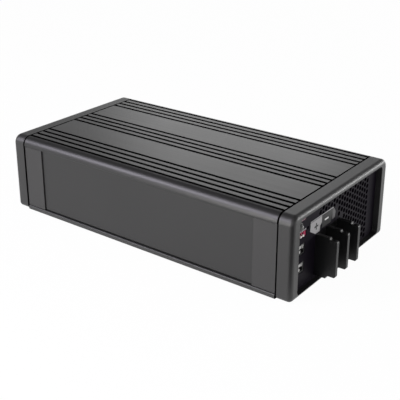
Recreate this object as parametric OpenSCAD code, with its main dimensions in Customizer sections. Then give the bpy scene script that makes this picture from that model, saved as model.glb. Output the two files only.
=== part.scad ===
// Battery charger in an extruded case, with a barrier terminal block at the front end.
// +X is the terminal end, +Z is up, and the origin is the middle of the underside.

/* [Case] */
// Overall length over both bezels
case_l = 220; // [212:1:260]
// Overall width
case_w = 113; // [101:1:140]
// Overall height
case_h = 52; // [46.5:0.5:60]
// Radius of the long top edges
top_edge_r = 5.5; // [4:0.5:6.5]
// Radius of the rail's bottom edges
rail_edge_r = 0.6; // [0.3:0.1:1]
// Thickness of the extruded top
top_t = 3.5; // [2.6:0.1:3.6]
// Thickness of the extruded side walls
side_t = 2.8; // [2.7:0.1:3.2]
// Depth of the long recess in each side
side_recess = 1.2; // [0.8:0.1:1.4]
// Fillet between the top and the inner face of each side wall
inner_corner_r = 3; // [2:0.5:4]
// Thickness of the base plate
base_t = 3; // [2.6:0.1:3.2]
// Height of the upstands along the base plate
upstand_h = 10; // [9:0.5:12]
// Dark gap between the rail and the cover
parting_gap = 0.8; // [0.5:0.1:1]

/* [Top grooves] */
// Width of one groove
groove_w = 1.8; // [1.2:0.1:2.6]
// Depth of one groove
groove_d = 1.5; // [0.8:0.1:1.7]
// Distance from groove to groove
groove_pitch = 5.55; // [4:0.05:6.5]
// Grooves in one group
groove_count = 4; // [2:1:5]
// Distance from group to group
group_pitch = 41.5; // [36:0.1:44]

/* [Bezels] */
// Length of a bezel, to the middle of its seam
bezel_l = 10; // [9:0.5:12]
// Width of the seam between a bezel and the cover
seam_w = 0.8; // [0.4:0.1:1.2]
// Radius all round the outer end
bezel_end_r = 2.8; // [2:0.1:3]
// Radius of the two bottom corners
bezel_foot_r = 3; // [3:0.5:4]
// Wall above the end opening
rim_top = 3.5; // [3.2:0.1:4]
// Wall at each side of the end opening
rim_side = 6.8; // [6.4:0.1:8]
// Wall below the end opening
rim_foot = 2; // [1.8:0.1:2.4]
// Radius in the corners of the end opening
rim_corner_r = 3; // [1:0.5:5]
// Thickness of the wall under the end panel
rim_sole = 1.2; // [0.8:0.1:1.5]
// Depth of the end panel below the outer end
panel_recess = 3.8; // [3.4:0.1:5]
// Thickness of the side spigots that plug into the cover
spigot_t = 1.5; // [1.2:0.1:1.8]
// Depth of the side spigots in the cover
spigot_l = 8; // [5:0.5:10]
// Height of one cored pocket in the side walls
core_h = 8; // [5:0.5:9]
// Width of one cored pocket
core_w = 2; // [1.2:0.1:2.2]
// Cored pockets in each side wall
core_count = 4; // [2:1:4]

/* [Side plates] */
// Length of a side plate
plate_l = 15.6; // [14.5:0.1:20]
// Thickness of a side plate
plate_t = 1.8; // [1.4:0.1:1.9]
// Depth of its face below the rail
plate_set_in = 0.4; // [0.2:0.1:0.6]
// Gap round a side plate
plate_gap = 0.5; // [0.3:0.1:0.6]
// Diameter of its two pegs
peg_d = 3; // [2:0.5:4]
// Distance between its two pegs
peg_pitch = 18; // [12:1:20]

/* [Fasteners] */
// Clearance between parts that fit together
fit = 0.1; // [0.05:0.05:0.15]
// Diameter of the case, board and fan screws
screw_d = 3; // [2.5:0.5:3]
// Distance of the case screws from the ends of the cover
case_screw_in = 11.4; // [11:0.1:12]
// Length of a case screw under its head
case_screw_l = 4.8; // [4:0.2:4.8]

/* [End panels] */
// Thickness of the steel sheet
sheet_t = 1.2; // [0.8:0.1:1.4]
// Length of the side flanges
flange_l = 22; // [20:1:26]
// Diameter of one hole in the grilles
vent_d = 3; // [2:0.1:3.2]
// Distance from hole to hole
vent_pitch = 3.75; // [3.6:0.05:5]
// Distance of the front grille's first column from the side of the opening
vent_in = 12; // [8:0.1:16]
// Columns of holes in the front grille
vent_columns = 19; // [8:1:19]
// Height of the front grille's lowest row
vent_low = 4.4; // [4:0.1:6]
// Plain band left round a grille
vent_margin = 1.2; // [1:0.1:2]

/* [Terminal block] */
// Distance between the two terminals
pole_pitch = 12.85; // [12:0.05:13.2]
// Place of the middle barrier
pole_y = -11; // [-12:0.1:-10]
// Thickness of a barrier
fin_t = 2.4; // [1.8:0.1:2.6]
// Reach of the barriers beyond the bezel
fin_reach = 10; // [6:0.5:14]
// Height of a barrier's tip
fin_tip_h = 23; // [18:0.5:24]
// Radius on the tip's corners
fin_tip_r = 1.2; // [0.6:0.1:2]
// Bottom of the block
block_z = 3.8; // [3.4:0.1:4.2]
// Height of the block
block_h = 26; // [24:0.5:27]
// Depth of the block behind the panel
block_l = 11.5; // [10.5:0.5:13]
// Depth of the terminal face below the panel
block_face_in = 0.7; // [0.3:0.1:1]
// Diameter of the terminal screws
pole_screw_d = 4; // [3:0.5:4]
// Length of the terminal screws under the head
pole_screw_l = 8; // [7:0.5:9]
// Thickness of the copper tabs
tab_t = 1; // [0.8:0.1:1.2]
// Width of the copper tabs
tab_w = 8; // [6:0.5:8]
// Side of a square nut
nut_w = 7; // [6.5:0.1:7.2]
// Thickness of a square nut
nut_t = 3.2; // [2.4:0.1:3.4]
// Side of a square clamp washer
washer_w = 8.6; // [8:0.1:9]
// Thickness of a clamp washer
washer_t = 1; // [0.6:0.1:1.2]

/* [Signals] */
// Distance of the signal parts from the side of the opening
signal_in = 8.7; // [8.4:0.1:10]
// Height of the lamp as a share of the opening's height
lamp_level = 0.84; // [0.83:0.01:0.86]
// Diameter of the lamp
lamp_d = 3.2; // [2:0.1:4]
// Height of the mode switch as a share of the opening's height
switch_level = 0.718; // [0.71:0.002:0.722]
// Width of the switch's slot
switch_w = 9.8; // [8:0.1:10]
// Height of the switch's slot
switch_slot_h = 3.6; // [3.4:0.1:4]
// Distance between the two levers
lever_pitch = 2.54; // [2.4:0.02:3]
// Travel of a lever
lever_travel = 1.1; // [0.8:0.1:1.2]
// Height of the upper socket as a share of the opening's height
upper_socket_level = 0.525; // [0.5:0.005:0.545]
// Height of the lower socket as a share of the opening's height
lower_socket_level = 0.28; // [0.25:0.01:0.32]
// Width of a socket
socket_w = 7.8; // [7:0.2:9]
// Height of a socket body
socket_h = 6.4; // [6:0.2:7]
// Length of a socket body
socket_l = 6.8; // [6:0.2:8]

/* [Rear end] */
// Distance of the mains inlet from the side of the opening
inlet_in = 1; // [0.5:0.1:2]
// Width of the inlet's flange
inlet_flange_w = 48.4; // [46:0.2:49]
// Height of the inlet's flange
inlet_flange_h = 22.6; // [21:0.2:26]
// Thickness of the inlet's flange
inlet_flange_t = 2.5; // [2:0.1:3]
// Width of the inlet's body
inlet_w = 27.4; // [27:0.2:30]
// Height of the inlet's body
inlet_h = 19.6; // [19:0.2:21]
// Width of the inlet's mouth
inlet_mouth_w = 24.4; // [24:0.1:25]
// Height of the inlet's mouth
inlet_mouth_h = 16.4; // [16:0.1:17]
// Depth of the inlet's mouth
inlet_depth = 16; // [14:0.5:17]
// Distance between the inlet's screws
inlet_screw_pitch = 40; // [39:0.5:41]
// Clearance over and under the fan
fan_gap = 2.75; // [1:0.25:3.5]
// Gap between the fan and the panel's side flange
fan_side_gap = 3.6; // [1:0.1:4]
// Depth of the fan frame
fan_l = 20; // [20:0.5:21]
// Distance of the fan screws from the frame's sides
fan_screw_in = 4; // [3.8:0.1:4.4]
// Blades on the fan rotor
blade_count = 7; // [5:1:9]
// Radius of the rotor's hub
hub_r = 9.4; // [9.2:0.1:10]
// Gap between the blades and the duct
blade_gap = 0.9; // [0.6:0.1:1.2]

/* [Circuit] */
// Height of the spacers under the main board
spacer_h = 5; // [4:0.5:6]
// Distance of the spacers from the board's edges
spacer_in = 6; // [5:0.5:8]
// Thickness of the circuit boards
board_t = 1.6; // [1:0.2:2]
// Room left under the top by the tallest parts
headroom = 4; // [3:0.5:8]
// Distance of the heat bars from the ends of the cover
heat_bar_in = 44.6; // [40:0.2:50]
// Thickness of a heat bar
heat_bar_t = 3; // [2:0.5:4]
// Distance of the fuse from the inlet's tail
fuse_in = 8.7; // [6:0.1:9]
// Diameter of the fuse's caps
fuse_d = 5.2; // [5:0.1:6.4]
// Length of the fuse
fuse_l = 20; // [18:1:22]
// Length of the line capacitor
line_can_l = 26; // [18:1:28]
// Thickness of the line capacitor
line_can_w = 10; // [8:0.5:11]
// Height of the line capacitor
line_can_h = 18; // [12:1:22]
// Outer diameter of the line choke's ring
line_ring_d = 22; // [20:0.5:23]
// Outer diameter of the boost choke's ring
boost_ring_d = 32; // [30:0.5:33]
// Outer diameter of the output choke's ring
output_ring_d = 26; // [24:0.5:27]
// Diameter of the bulk capacitor
bulk_d = 26; // [20:1:27]
// Diameter of an output capacitor
can_d = 12.5; // [8:0.5:13]
// Height of an output capacitor
can_h = 25; // [15:1:30]
// Distance between the power packages
package_pitch = 20; // [17:0.5:22]
// Height of the control board
control_h = 24; // [16:1:28]
// Length of the control board
control_l = 36; // [32:4:36]

/* [Hidden] */
$fn = 48;
over = 1;
half_l = case_l / 2;
half_w = case_w / 2;
seam_x = half_l - bezel_l;
cover_x = seam_x - seam_w / 2;
bezel_x = seam_x + seam_w / 2;
panel_x = half_l - panel_recess;
panel_back = panel_x - sheet_t;
wall_y = half_w - side_recess;
inner_y = wall_y - side_t;
inner_top = case_h - top_t;
shoulder_z = case_h - top_edge_r - 0.3;
seat_y = inner_y - fit;
slot_y = seat_y - spigot_t;
flange_y = slot_y - fit;
spigot_x = cover_x - spigot_l;
opening_top = case_h - rim_top;
opening_y = half_w - rim_side;
plate_face = half_w - plate_set_in;
plate_back = plate_face - plate_t;
plate_x = cover_x - plate_l;
plate_z = base_t + plate_gap - 0.1;
plate_top = shoulder_z - plate_gap + 0.1;
case_screw_x = cover_x - case_screw_in;
case_screw_z = base_t + upstand_h / 2;
head_d = 1.85 * screw_d;
countersink = 1.5;
board_z = base_t + spacer_h;
top_z = board_z + board_t;

// A flat outline in Y and Z drawn out along X
module along_x(x, length) {
  translate([x, 0, 0])
    rotate([90, 0, 90])
      linear_extrude(height = length)
        children();
}

// A flat outline in X and Z drawn out along Y
module along_y(y, length) {
  translate([0, y + length, 0])
    rotate([90, 0, 0])
      linear_extrude(height = length)
        children();
}

// A round bar along X
module rod_x(x, length, d) {
  translate([x, 0, 0])
    rotate([0, 90, 0])
      cylinder(h = length, d = d);
}

// A round bar along +Y
module rod_y(y, length, d) {
  translate([0, y, 0])
    rotate([-90, 0, 0])
      cylinder(h = length, d = d);
}

// A rectangle that stands on y = 0, with its own radius at the top and at the bottom
module arch_rect(w, h, r_top, r_low) {
  translate([-w / 2, r_low])
    square([w, h - r_top - r_low]);
  translate([-w / 2 + r_top, r_low])
    square([w - 2 * r_top, h - r_low]);
  translate([-w / 2 + r_low, 0])
    square([w - 2 * r_low, h - r_top]);
  for (side = [-1, 1]) {
    translate([side * (w / 2 - r_top), h - r_top])
      circle(r = r_top);
    translate([side * (w / 2 - r_low), r_low])
      circle(r = r_low);
  }
}

// A rectangle about the origin with one radius
module soft_rect(w, h, r) {
  translate([0, -h / 2])
    arch_rect(w, h, r, r);
}

// A box about its middle in Y and Z, from x0 to x1
module block_x(x0, x1, w, h) {
  translate([x0, -w / 2, -h / 2])
    cube([x1 - x0, w, h]);
}

// A countersunk screw whose head is flush at z = 0 and whose shank runs down
module flush_screw(d, length) {
  difference() {
    union() {
      translate([0, 0, -countersink])
        cylinder(h = countersink, d1 = d, d2 = 1.85 * d);
      translate([0, 0, -length])
        cylinder(h = length - countersink + fit, d = d);
    }
    cross_recess(d, 0.9);
  }
}

// A pan head screw that sits on z = 0, with its shank below
module pan_screw(d, head_w, head_h, length) {
  difference() {
    union() {
      rotate_extrude()
        pan_profile(head_w / 2, head_h);
      translate([0, 0, -length])
        cylinder(h = length + head_h / 2, d = d);
    }
    translate([0, 0, head_h])
      cross_recess(d, head_h / 2);
  }
}

// Half the section of a pan head
module pan_profile(r, h) {
  soft = h / 3;
  square([r, h - soft]);
  square([r - soft, h]);
  translate([r - soft, h - soft])
    circle(r = soft);
}

// The conical seat of a countersunk head, from one clearance above the head downwards
module countersunk_seat() {
  slope = (head_d - screw_d) / countersink;
  cylinder(
    h = countersink + 2 * fit,
    d1 = head_d + 2 * fit * (1 + slope),
    d2 = screw_d + 2 * fit
  );
}

// The cross recess of a screw head, cut downwards from z = 0
module cross_recess(d, depth) {
  for (turn = [0, 90])
    rotate([0, 0, turn])
      translate([-d * 0.45, -d * 0.1, -depth])
        cube([d * 0.9, d * 0.2, depth + over]);
}

// The extruded section of the cover: top, side walls and their recesses
module cover_section() {
  difference() {
    arch_rect(case_w, case_h, top_edge_r, rail_edge_r);
    translate([-half_w - over, -over])
      square([case_w + 2 * over, base_t + parting_gap + over]);
    arch_rect(2 * inner_y, inner_top, inner_corner_r, rail_edge_r);
    for (side = [-1, 1]) {
      translate([side * (wall_y + case_w / 2), (shoulder_z - side_recess) / 2])
        square([case_w, shoulder_z - side_recess], center = true);
      translate([side * half_w, shoulder_z - side_recess])
        circle(r = side_recess);
    }
    for (group = [-1, 0, 1])
      for (i = [0 : groove_count - 1])
        translate([group * group_pitch + (i - (groove_count - 1) / 2) * groove_pitch, case_h])
          square([groove_w, 2 * groove_d], center = true);
  }
}

// The hole that one case screw needs, along +Y from the middle plane
module case_screw_hole() {
  translate([case_screw_x, 0, case_screw_z])
    rod_y(inner_y - 6, 6 + side_t, screw_d + 2 * fit);
}

module cover() {
  color("#2b2c2f")
    difference() {
      along_x(-cover_x, 2 * cover_x)
        cover_section();
      for (end = [0, 1])
        for (side = [0, 1])
          mirror([end, 0, 0])
            mirror([0, side, 0]) {
              translate([plate_x - plate_gap, plate_back, -over])
                cube([plate_l + plate_gap + over, side_t + over, shoulder_z + over]);
              case_screw_hole();
              translate([case_screw_x, plate_back + fit, case_screw_z])
                rotate([90, 0, 0])
                  countersunk_seat();
              for (step = [-1, 1])
                translate([plate_x + plate_l / 2, 0, (plate_z + plate_top) / 2 + step * peg_pitch / 2])
                  rod_y(inner_y - over, side_t + over, peg_d + 2 * fit);
            }
    }
}

module base_plate() {
  color("#242527")
    difference() {
      union() {
        along_x(-cover_x, 2 * cover_x)
          arch_rect(case_w, base_t, rail_edge_r, rail_edge_r);
        for (side = [-1, 1])
          along_x(-spigot_x + plate_gap, 2 * (spigot_x - plate_gap))
            translate([side * (slot_y + spigot_t / 2), base_t + (upstand_h - fit) / 2])
              square([spigot_t, upstand_h + fit], center = true);
      }
      for (end = [0, 1])
        for (side = [0, 1])
          mirror([end, 0, 0])
            mirror([0, side, 0])
              case_screw_hole();
      for (spot = spacer_spots())
        translate([spot[0], spot[1], -over])
          cylinder(h = base_t + 2 * over, d = screw_d + 2 * fit);
    }
}

// The section of the bezel's outer wall, swept round its edge
module bezel_edge(r) {
  length = half_l - bezel_x;
  translate([0, -length])
    square([r, length - bezel_end_r]);
  translate([0, -length])
    square([r - bezel_end_r, length]);
  intersection() {
    translate([r - bezel_end_r, -bezel_end_r])
      circle(r = bezel_end_r);
    translate([r - bezel_end_r, -bezel_end_r])
      square(bezel_end_r);
  }
}

// One rounded corner of the bezel block, a quarter turn from the given angle
module bezel_corner(side, z, r, start) {
  translate([half_l, side * (half_w - r), z])
    rotate([0, 90, 0])
      rotate([0, 0, start])
        rotate_extrude(angle = 90)
          bezel_edge(r);
}

// A straight stretch of the bezel's upper edge, laid out along Y
module bezel_bar(r) {
  translate([half_l, r - half_w, 0])
    rotate([90, 0, 90])
      rotate([90, 0, 90])
        linear_extrude(height = case_w - 2 * r)
          bezel_edge(r);
}

// The outer form of a bezel as one full block
module bezel_block() {
  r_top = top_edge_r;
  r_low = bezel_foot_r;
  bezel_corner(1, case_h - r_top, r_top, 90);
  bezel_corner(-1, case_h - r_top, r_top, 180);
  bezel_corner(1, r_low, r_low, 0);
  bezel_corner(-1, r_low, r_low, 270);
  translate([0, 0, case_h - r_top])
    bezel_bar(r_top);
  translate([0, 0, r_low])
    mirror([0, 0, 1])
      bezel_bar(r_low);
  for (side = [0, 1])
    mirror([0, side, 0])
      translate([half_l, half_w - r_top, r_low])
        mirror([1, 0, 0])
          rotate([0, 0, 90])
            linear_extrude(height = case_h - r_top - r_low)
              bezel_edge(r_top);
  translate([bezel_x, r_top - half_w, r_low])
    cube([half_l - bezel_x, case_w - 2 * r_top, case_h - r_top - r_low]);
}

// The pockets that keep the side walls of a bezel thin
module bezel_cores() {
  room = case_h - top_edge_r - bezel_foot_r;
  for (side = [-1, 1])
    for (i = [0 : core_count - 1])
      translate([
        bezel_x - over,
        side * (slot_y + half_w - core_w / 2) / 2 - core_w / 2,
        bezel_foot_r + (i + 0.5) * room / core_count - core_h / 2
      ])
        cube([panel_back - bezel_x + over, core_w, core_h]);
}

// A bezel: rounded rim, rebate for the panel and two spigots for the cover
module bezel() {
  difference() {
    bezel_block();
    along_x(bezel_x - over, panel_x - bezel_x + over)
      translate([-slot_y, rim_sole])
        square([2 * slot_y, opening_top - rim_sole]);
    along_x(panel_x - fit, panel_recess + over)
      translate([0, rim_foot])
        arch_rect(case_w - 2 * rim_side, opening_top - rim_foot, rim_corner_r, rim_corner_r);
    bezel_cores();
  }
  for (side = [-1, 1])
    along_x(spigot_x, bezel_x - spigot_x + fit)
      translate([side * (slot_y + spigot_t / 2), (base_t + inner_top - inner_corner_r) / 2])
        square([spigot_t, inner_top - inner_corner_r - base_t - 4 * fit], center = true);
}

module front_bezel() {
  color("#303134")
    bezel();
}

module rear_bezel() {
  color("#303134")
    mirror([1, 0, 0])
      bezel();
}

// A plate of the right side at the front, with two pegs behind
module side_plate() {
  middle_x = plate_x + plate_l / 2;
  middle_z = (plate_z + plate_top) / 2;
  soft = 0.5;
  translate([middle_x, plate_face, middle_z])
    rotate([90, 0, 0])
      linear_extrude(height = plate_t)
        soft_rect(plate_l, plate_top - plate_z, soft);
  for (step = [-1, 1])
    translate([middle_x, 0, middle_z + step * peg_pitch / 2])
      rod_y(inner_y + fit, plate_back - inner_y, peg_d);
}

module side_plate_front_left() {
  color("#37383b")
    mirror([0, 1, 0])
      side_plate();
}

module side_plate_front_right() {
  color("#37383b")
    side_plate();
}

module side_plate_rear_left() {
  color("#37383b")
    rotate([0, 0, 180])
      side_plate();
}

module side_plate_rear_right() {
  color("#37383b")
    mirror([1, 0, 0])
      side_plate();
}

module case_screws() {
  color("silver")
    for (end = [0, 1])
      for (side = [0, 1])
        mirror([end, 0, 0])
          mirror([0, side, 0])
            translate([case_screw_x, plate_back - fit, case_screw_z])
              rotate([-90, 0, 0])
                flush_screw(screw_d, case_screw_l);
}

// An end panel: a sheet with two flanges folded back inside the cover
module panel_sheet() {
  low = rim_sole + fit;
  translate([panel_back, -flange_y, low])
    cube([sheet_t, 2 * flange_y, opening_top - fit - low]);
  for (side = [0, 1])
    mirror([0, side, 0])
      translate([panel_x - flange_l, flange_y - sheet_t, base_t + fit])
        cube([flange_l - sheet_t + fit, sheet_t, inner_top - inner_corner_r - base_t - 2 * fit]);
}

// One round cut through the front panel
module panel_hole(y, z, d) {
  translate([0, y, z])
    rod_x(panel_back - over, sheet_t + 2 * over, d);
}

// One window through the front panel
module panel_window(y, z, w, h) {
  translate([0, y, z])
    block_x(panel_back - over, panel_x + over, w, h);
}

block_half = pole_pitch + fin_t / 2;
block_top = block_z + block_h;
opening_h = opening_top - rim_foot;
signal_y = signal_in - opening_y;
lamp_z = rim_foot + lamp_level * opening_h;
switch_z = rim_foot + switch_level * opening_h;
upper_socket_z = rim_foot + upper_socket_level * opening_h;
lower_socket_z = rim_foot + lower_socket_level * opening_h;
label_right = 0.5;
label_h = 9.8;
label_top = block_top + label_h;
vent_step = vent_pitch * sqrt(3) / 2;
vent_first_y = opening_y - vent_in;
vent_last_z = opening_top - vent_d / 2 - vent_margin;
vent_rows = floor((vent_last_z - vent_low) / vent_pitch);
pinhole_y = signal_y + 6.6;
pinhole_z = switch_z + 2.2;
pinhole_d = 2;

// The grille stays clear of the terminal block and of the two polarity fields
function vent_free(y, z) =
  (y - vent_d / 2 > pole_y + block_half + vent_margin || z - vent_d / 2 > block_top + vent_margin) &&
  (y > label_right || z > label_top);

module front_vents() {
  for (i = [0 : vent_columns - 1])
    for (j = [0 : vent_rows]) {
      y = vent_first_y - i * vent_step;
      z = vent_low + (j + (i % 2) / 2) * vent_pitch;
      if (vent_free(y, z) && z < vent_last_z)
        panel_hole(y, z, vent_d);
    }
}

module front_panel() {
  color("#1d1c20")
    difference() {
      panel_sheet();
      front_vents();
      panel_window(pole_y, block_z + block_h / 2, 2 * (block_half + fit), block_h + 2 * fit);
      panel_hole(lamp_y, lamp_z, lamp_d + 2 * lamp_gap);
      panel_hole(pinhole_y, pinhole_z, pinhole_d);
      panel_window(signal_y, switch_z, switch_w, switch_slot_h);
      for (z = [upper_socket_z, lower_socket_z])
        panel_window(signal_y, z, socket_w + 4 * fit, socket_h + 4 * fit);
      for (side = [0, 1])
        mirror([0, side, 0])
          case_screw_hole();
    }
}

fan_z = (base_t + inner_top) / 2;
fan_web = 0.6;
inlet_y = opening_y - inlet_in - inlet_flange_w / 2;
inlet_z = fan_z;
fan_start = fan_side_gap + sheet_t - flange_y;
fan_size = min(inner_top - base_t - 2 * fan_gap, inlet_y - inlet_flange_w / 2 - fan_start - fan_web);
fan_y = fan_start + fan_size / 2;
fan_hole_pitch = fan_size - 2 * fan_screw_in;
fan_wall = 0.9;
fan_bore_r = fan_size / 2 - fan_wall;

// Holes in a hexagonal pattern over the fan's duct
module fan_vents() {
  reach = ceil(fan_bore_r / vent_step);
  for (i = [-reach : reach])
    for (j = [-reach : reach]) {
      y = i * vent_step;
      z = (j + (abs(i) % 2) / 2) * vent_pitch;
      if (norm([y, z]) < fan_bore_r - vent_d / 2 - fan_web)
        translate([0, fan_y + y, fan_z + z])
          rod_x(-panel_x - over, sheet_t + 2 * over, vent_d);
    }
}

// The four places of the fan screws
module fan_corners() {
  for (y = [-1, 1])
    for (z = [-1, 1])
      translate([0, fan_y + y * fan_hole_pitch / 2, fan_z + z * fan_hole_pitch / 2])
        children();
}

module rear_panel() {
  color("#1d1c20")
    difference() {
      mirror([1, 0, 0])
        panel_sheet();
      fan_vents();
      fan_corners()
        rod_x(-panel_x - over, sheet_t + 2 * over, screw_d + 2 * fit);
      translate([0, inlet_y, inlet_z])
        block_x(-panel_x - over, over - panel_back, inlet_w + 2 * fit, inlet_h + 2 * fit);
      for (side = [-1, 1])
        translate([0, inlet_y + side * inlet_screw_pitch / 2, inlet_z])
          rod_x(-panel_x - over, sheet_t + 2 * over, screw_d + 2 * fit);
      for (side = [0, 1])
        mirror([1, 0, 0])
          mirror([0, side, 0])
            case_screw_hole();
    }
}

pole_face_x = panel_x - block_face_in;
pole_z = block_z + block_h / 2;
tab_rise = 7.4;
tab_fall = 8.4;
tab_top = pole_z + tab_rise;
tab_foot = pole_z - tab_fall;
tab_back = panel_back - block_l - 3.6;
ledge_w = 2.4;
ledge_t = 1.6;
fin_tip_rise = 0.5;
poles = [pole_y - pole_pitch / 2, pole_y + pole_pitch / 2];

// The barrier's outline: a tall root, a lower tip with round corners and two notches between them
module fin_shape() {
  tip_x = half_l + fin_reach;
  tip_low = pole_z + fin_tip_rise - fin_tip_h / 2;
  tip_l = 10;
  root_in = 4.6;
  upper_notch_r = 1.4;
  lower_notch_r = 1.9;
  difference() {
    union() {
      translate([panel_back - block_l, block_z])
        square([tip_x - root_in - panel_back + block_l, block_h]);
      translate([tip_x - tip_l, tip_low])
        square([tip_l - fin_tip_r, fin_tip_h]);
      translate([tip_x - tip_l, tip_low + fin_tip_r])
        square([tip_l, fin_tip_h - 2 * fin_tip_r]);
      for (z = [tip_low + fin_tip_r, tip_low + fin_tip_h - fin_tip_r])
        translate([tip_x - fin_tip_r, z])
          circle(r = fin_tip_r);
    }
    translate([tip_x - root_in + upper_notch_r - 0.3, block_top])
      circle(r = upper_notch_r);
    translate([tip_x - root_in + 0.2, block_z])
      circle(r = lower_notch_r);
  }
}

// The block between its three barriers, with the ledge that bears on the panel
module block_form() {
  translate([0, pole_y, pole_z])
    block_x(panel_back - block_l, pole_face_x, 2 * block_half, block_h);
  translate([0, pole_y, pole_z])
    block_x(panel_back - ledge_t, panel_back, 2 * (block_half + ledge_w), block_h + ledge_w);
  for (i = [-1, 0, 1])
    along_y(pole_y + i * pole_pitch - fin_t / 2, fin_t)
      fin_shape();
}

module terminal_block() {
  color("#161618")
    difference() {
      block_form();
      for (y = poles)
        translate([0, y, pole_z]) {
          block_x(pole_face_x - nut_t, pole_face_x + over, nut_w + 2 * fit, nut_w + 2 * fit);
          rod_x(pole_face_x - pole_screw_l, pole_screw_l, pole_screw_d + 4 * fit);
        }
      for (y = poles)
        translate([panel_back - block_l - over, y - tab_w / 2 - fit, tab_top - tab_t - fit])
          cube([pole_face_x - panel_back + block_l + 2 * over, tab_w + 2 * fit, tab_t + 2 * fit]);
    }
}

// A copper tab: front plate, run through the block and leg down to the board
module pole_tab(y) {
  color("#c98a55")
    difference() {
      along_y(y - tab_w / 2, tab_w)
        union() {
          translate([pole_face_x, tab_foot])
            square([tab_t, tab_top - tab_foot]);
          translate([tab_back, tab_top - tab_t])
            square([pole_face_x + tab_t - tab_back, tab_t]);
          translate([tab_back, top_z])
            square([tab_t, tab_top - top_z]);
        }
      translate([0, y, pole_z])
        rod_x(pole_face_x - over, tab_t + 2 * over, pole_screw_d + 2 * fit);
    }
}

module positive_tab() {
  pole_tab(poles[0]);
}

module negative_tab() {
  pole_tab(poles[1]);
}

module terminal_nuts() {
  color("#b9bcc0")
    for (y = poles)
      translate([0, y, pole_z])
        difference() {
          block_x(pole_face_x - nut_t, pole_face_x, nut_w, nut_w);
          rod_x(pole_face_x - nut_t - over, nut_t + 2 * over, pole_screw_d + fit);
        }
}

module clamp_washers() {
  color("#c9ccd0")
    for (y = poles)
      translate([0, y, pole_z])
        difference() {
          block_x(pole_face_x + tab_t, pole_face_x + tab_t + washer_t, washer_w, washer_w);
          rod_x(pole_face_x, tab_t + washer_t + over, pole_screw_d + 2 * fit);
        }
}

module terminal_screws() {
  head_w = 7.8;
  head_h = 2.8;
  color("#c9ccd0")
    for (y = poles)
      translate([pole_face_x + tab_t + washer_t, y, pole_z])
        rotate([0, 90, 0])
          pan_screw(pole_screw_d, head_w, head_h, pole_screw_l);
}

lamp_y = signal_y - 2.1;
lamp_gap = 0.6;
lamp_out = 2;
collar_w = 0.4;
collar_l = 1;
switch_lip = 0.9;
socket_in = 0.3;
socket_front = panel_x - socket_in;
signal_x = socket_front - socket_l;
lamp_seat = signal_x + socket_l / 2;
signal_board_w = 15;
lever_w = 1.3;
lever_h = 1.1;
lever_gap = 0.15;
lever_out = 0.5;
lever_room = lever_h + lever_travel + 2 * lever_gap;
lever_floor = panel_x - 2.3;

module status_lamp() {
  dome_x = panel_x + lamp_out - lamp_d / 2;
  color("#d9d6cc")
    translate([0, lamp_y, lamp_z])
      union() {
        rod_x(lamp_seat, dome_x - lamp_seat, lamp_d);
        rod_x(lamp_seat, collar_l, lamp_d + collar_w);
        translate([dome_x, 0, 0])
          sphere(d = lamp_d);
      }
}

module lamp_holder() {
  color("#26262a")
    translate([0, lamp_y, lamp_z])
      rod_x(signal_x, lamp_seat - signal_x, lamp_d + collar_w);
}

module switch_body() {
  color("#b3272b")
    difference() {
      translate([0, signal_y, switch_z])
        union() {
          block_x(signal_x, panel_back - fit, switch_w, switch_slot_h + 2 * switch_lip);
          block_x(signal_x, socket_front, switch_w - 4 * fit, switch_slot_h - 4 * fit);
        }
      for (side = [-1, 1])
        translate([0, signal_y + side * lever_pitch / 2, switch_z])
          block_x(lever_floor, panel_x + over, lever_w + 2 * lever_gap, lever_room);
    }
}

// A white lever at the lower end of its travel
module switch_lever(side) {
  color("#ecebe6")
    translate([0, signal_y + side * lever_pitch / 2, switch_z - lever_travel / 2])
      block_x(lever_floor + lever_gap, panel_x + lever_out, lever_w, lever_h);
}

module switch_lever_left() {
  switch_lever(-1);
}

module switch_lever_right() {
  switch_lever(1);
}

socket_wall = 0.7;
socket_floor = 1.5;
key_w = 1.1;
pin_w = 0.64;
pin_pitch = 2.5;

// A two-way socket with a keyed mouth
module wire_socket(z) {
  color("#e4e2db")
    difference() {
      translate([0, signal_y, z])
        block_x(signal_x, socket_front, socket_w, socket_h);
      translate([0, signal_y, z])
        block_x(signal_x + socket_floor, socket_front + over, socket_w - 2 * socket_wall, socket_h - 2 * socket_wall);
      for (side = [-1, 1])
        translate([0, signal_y + side * pin_pitch / 2, z + socket_h / 2])
          block_x(signal_x + 2 * socket_floor, socket_front + over, key_w, 4 * socket_wall);
      for (side = [-1, 1])
        translate([0, signal_y + side * pin_pitch / 2, z])
          block_x(signal_x - over, signal_x + socket_floor + over, pin_w, pin_w);
    }
}

module sensor_socket() {
  wire_socket(upper_socket_z);
}

module remote_socket() {
  wire_socket(lower_socket_z);
}

module socket_pins() {
  color("#d8d3c0")
    for (z = [upper_socket_z, lower_socket_z])
      for (side = [-1, 1])
        translate([0, signal_y + side * pin_pitch / 2, z])
          block_x(signal_x, socket_front - socket_floor, pin_w, pin_w);
}

module signal_board() {
  color("#2f5d3a")
    translate([signal_x - board_t, signal_y - signal_board_w / 2, top_z])
      cube([board_t, signal_board_w, lamp_z + lamp_d - top_z]);
}

inlet_face = panel_x + inlet_flange_t;
inlet_cut = 4.6;
inlet_flange_r = 3;
inlet_floor = 2;
blade_w = 4;
blade_t = 2;
blade_in = 3;
tail_t = 0.8;
tail_x = inlet_face - inlet_depth - 6;
inlet_spots = [[-7, -2], [0, 2], [7, -2]];

// The outline of the mains socket's mouth, with its two cut corners
module inlet_mouth() {
  difference() {
    square([inlet_mouth_w, inlet_mouth_h], center = true);
    for (side = [-1, 1])
      translate([side * inlet_mouth_w / 2, inlet_mouth_h / 2])
        rotate(45)
          square(inlet_cut * sqrt(2), center = true);
  }
}

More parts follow.
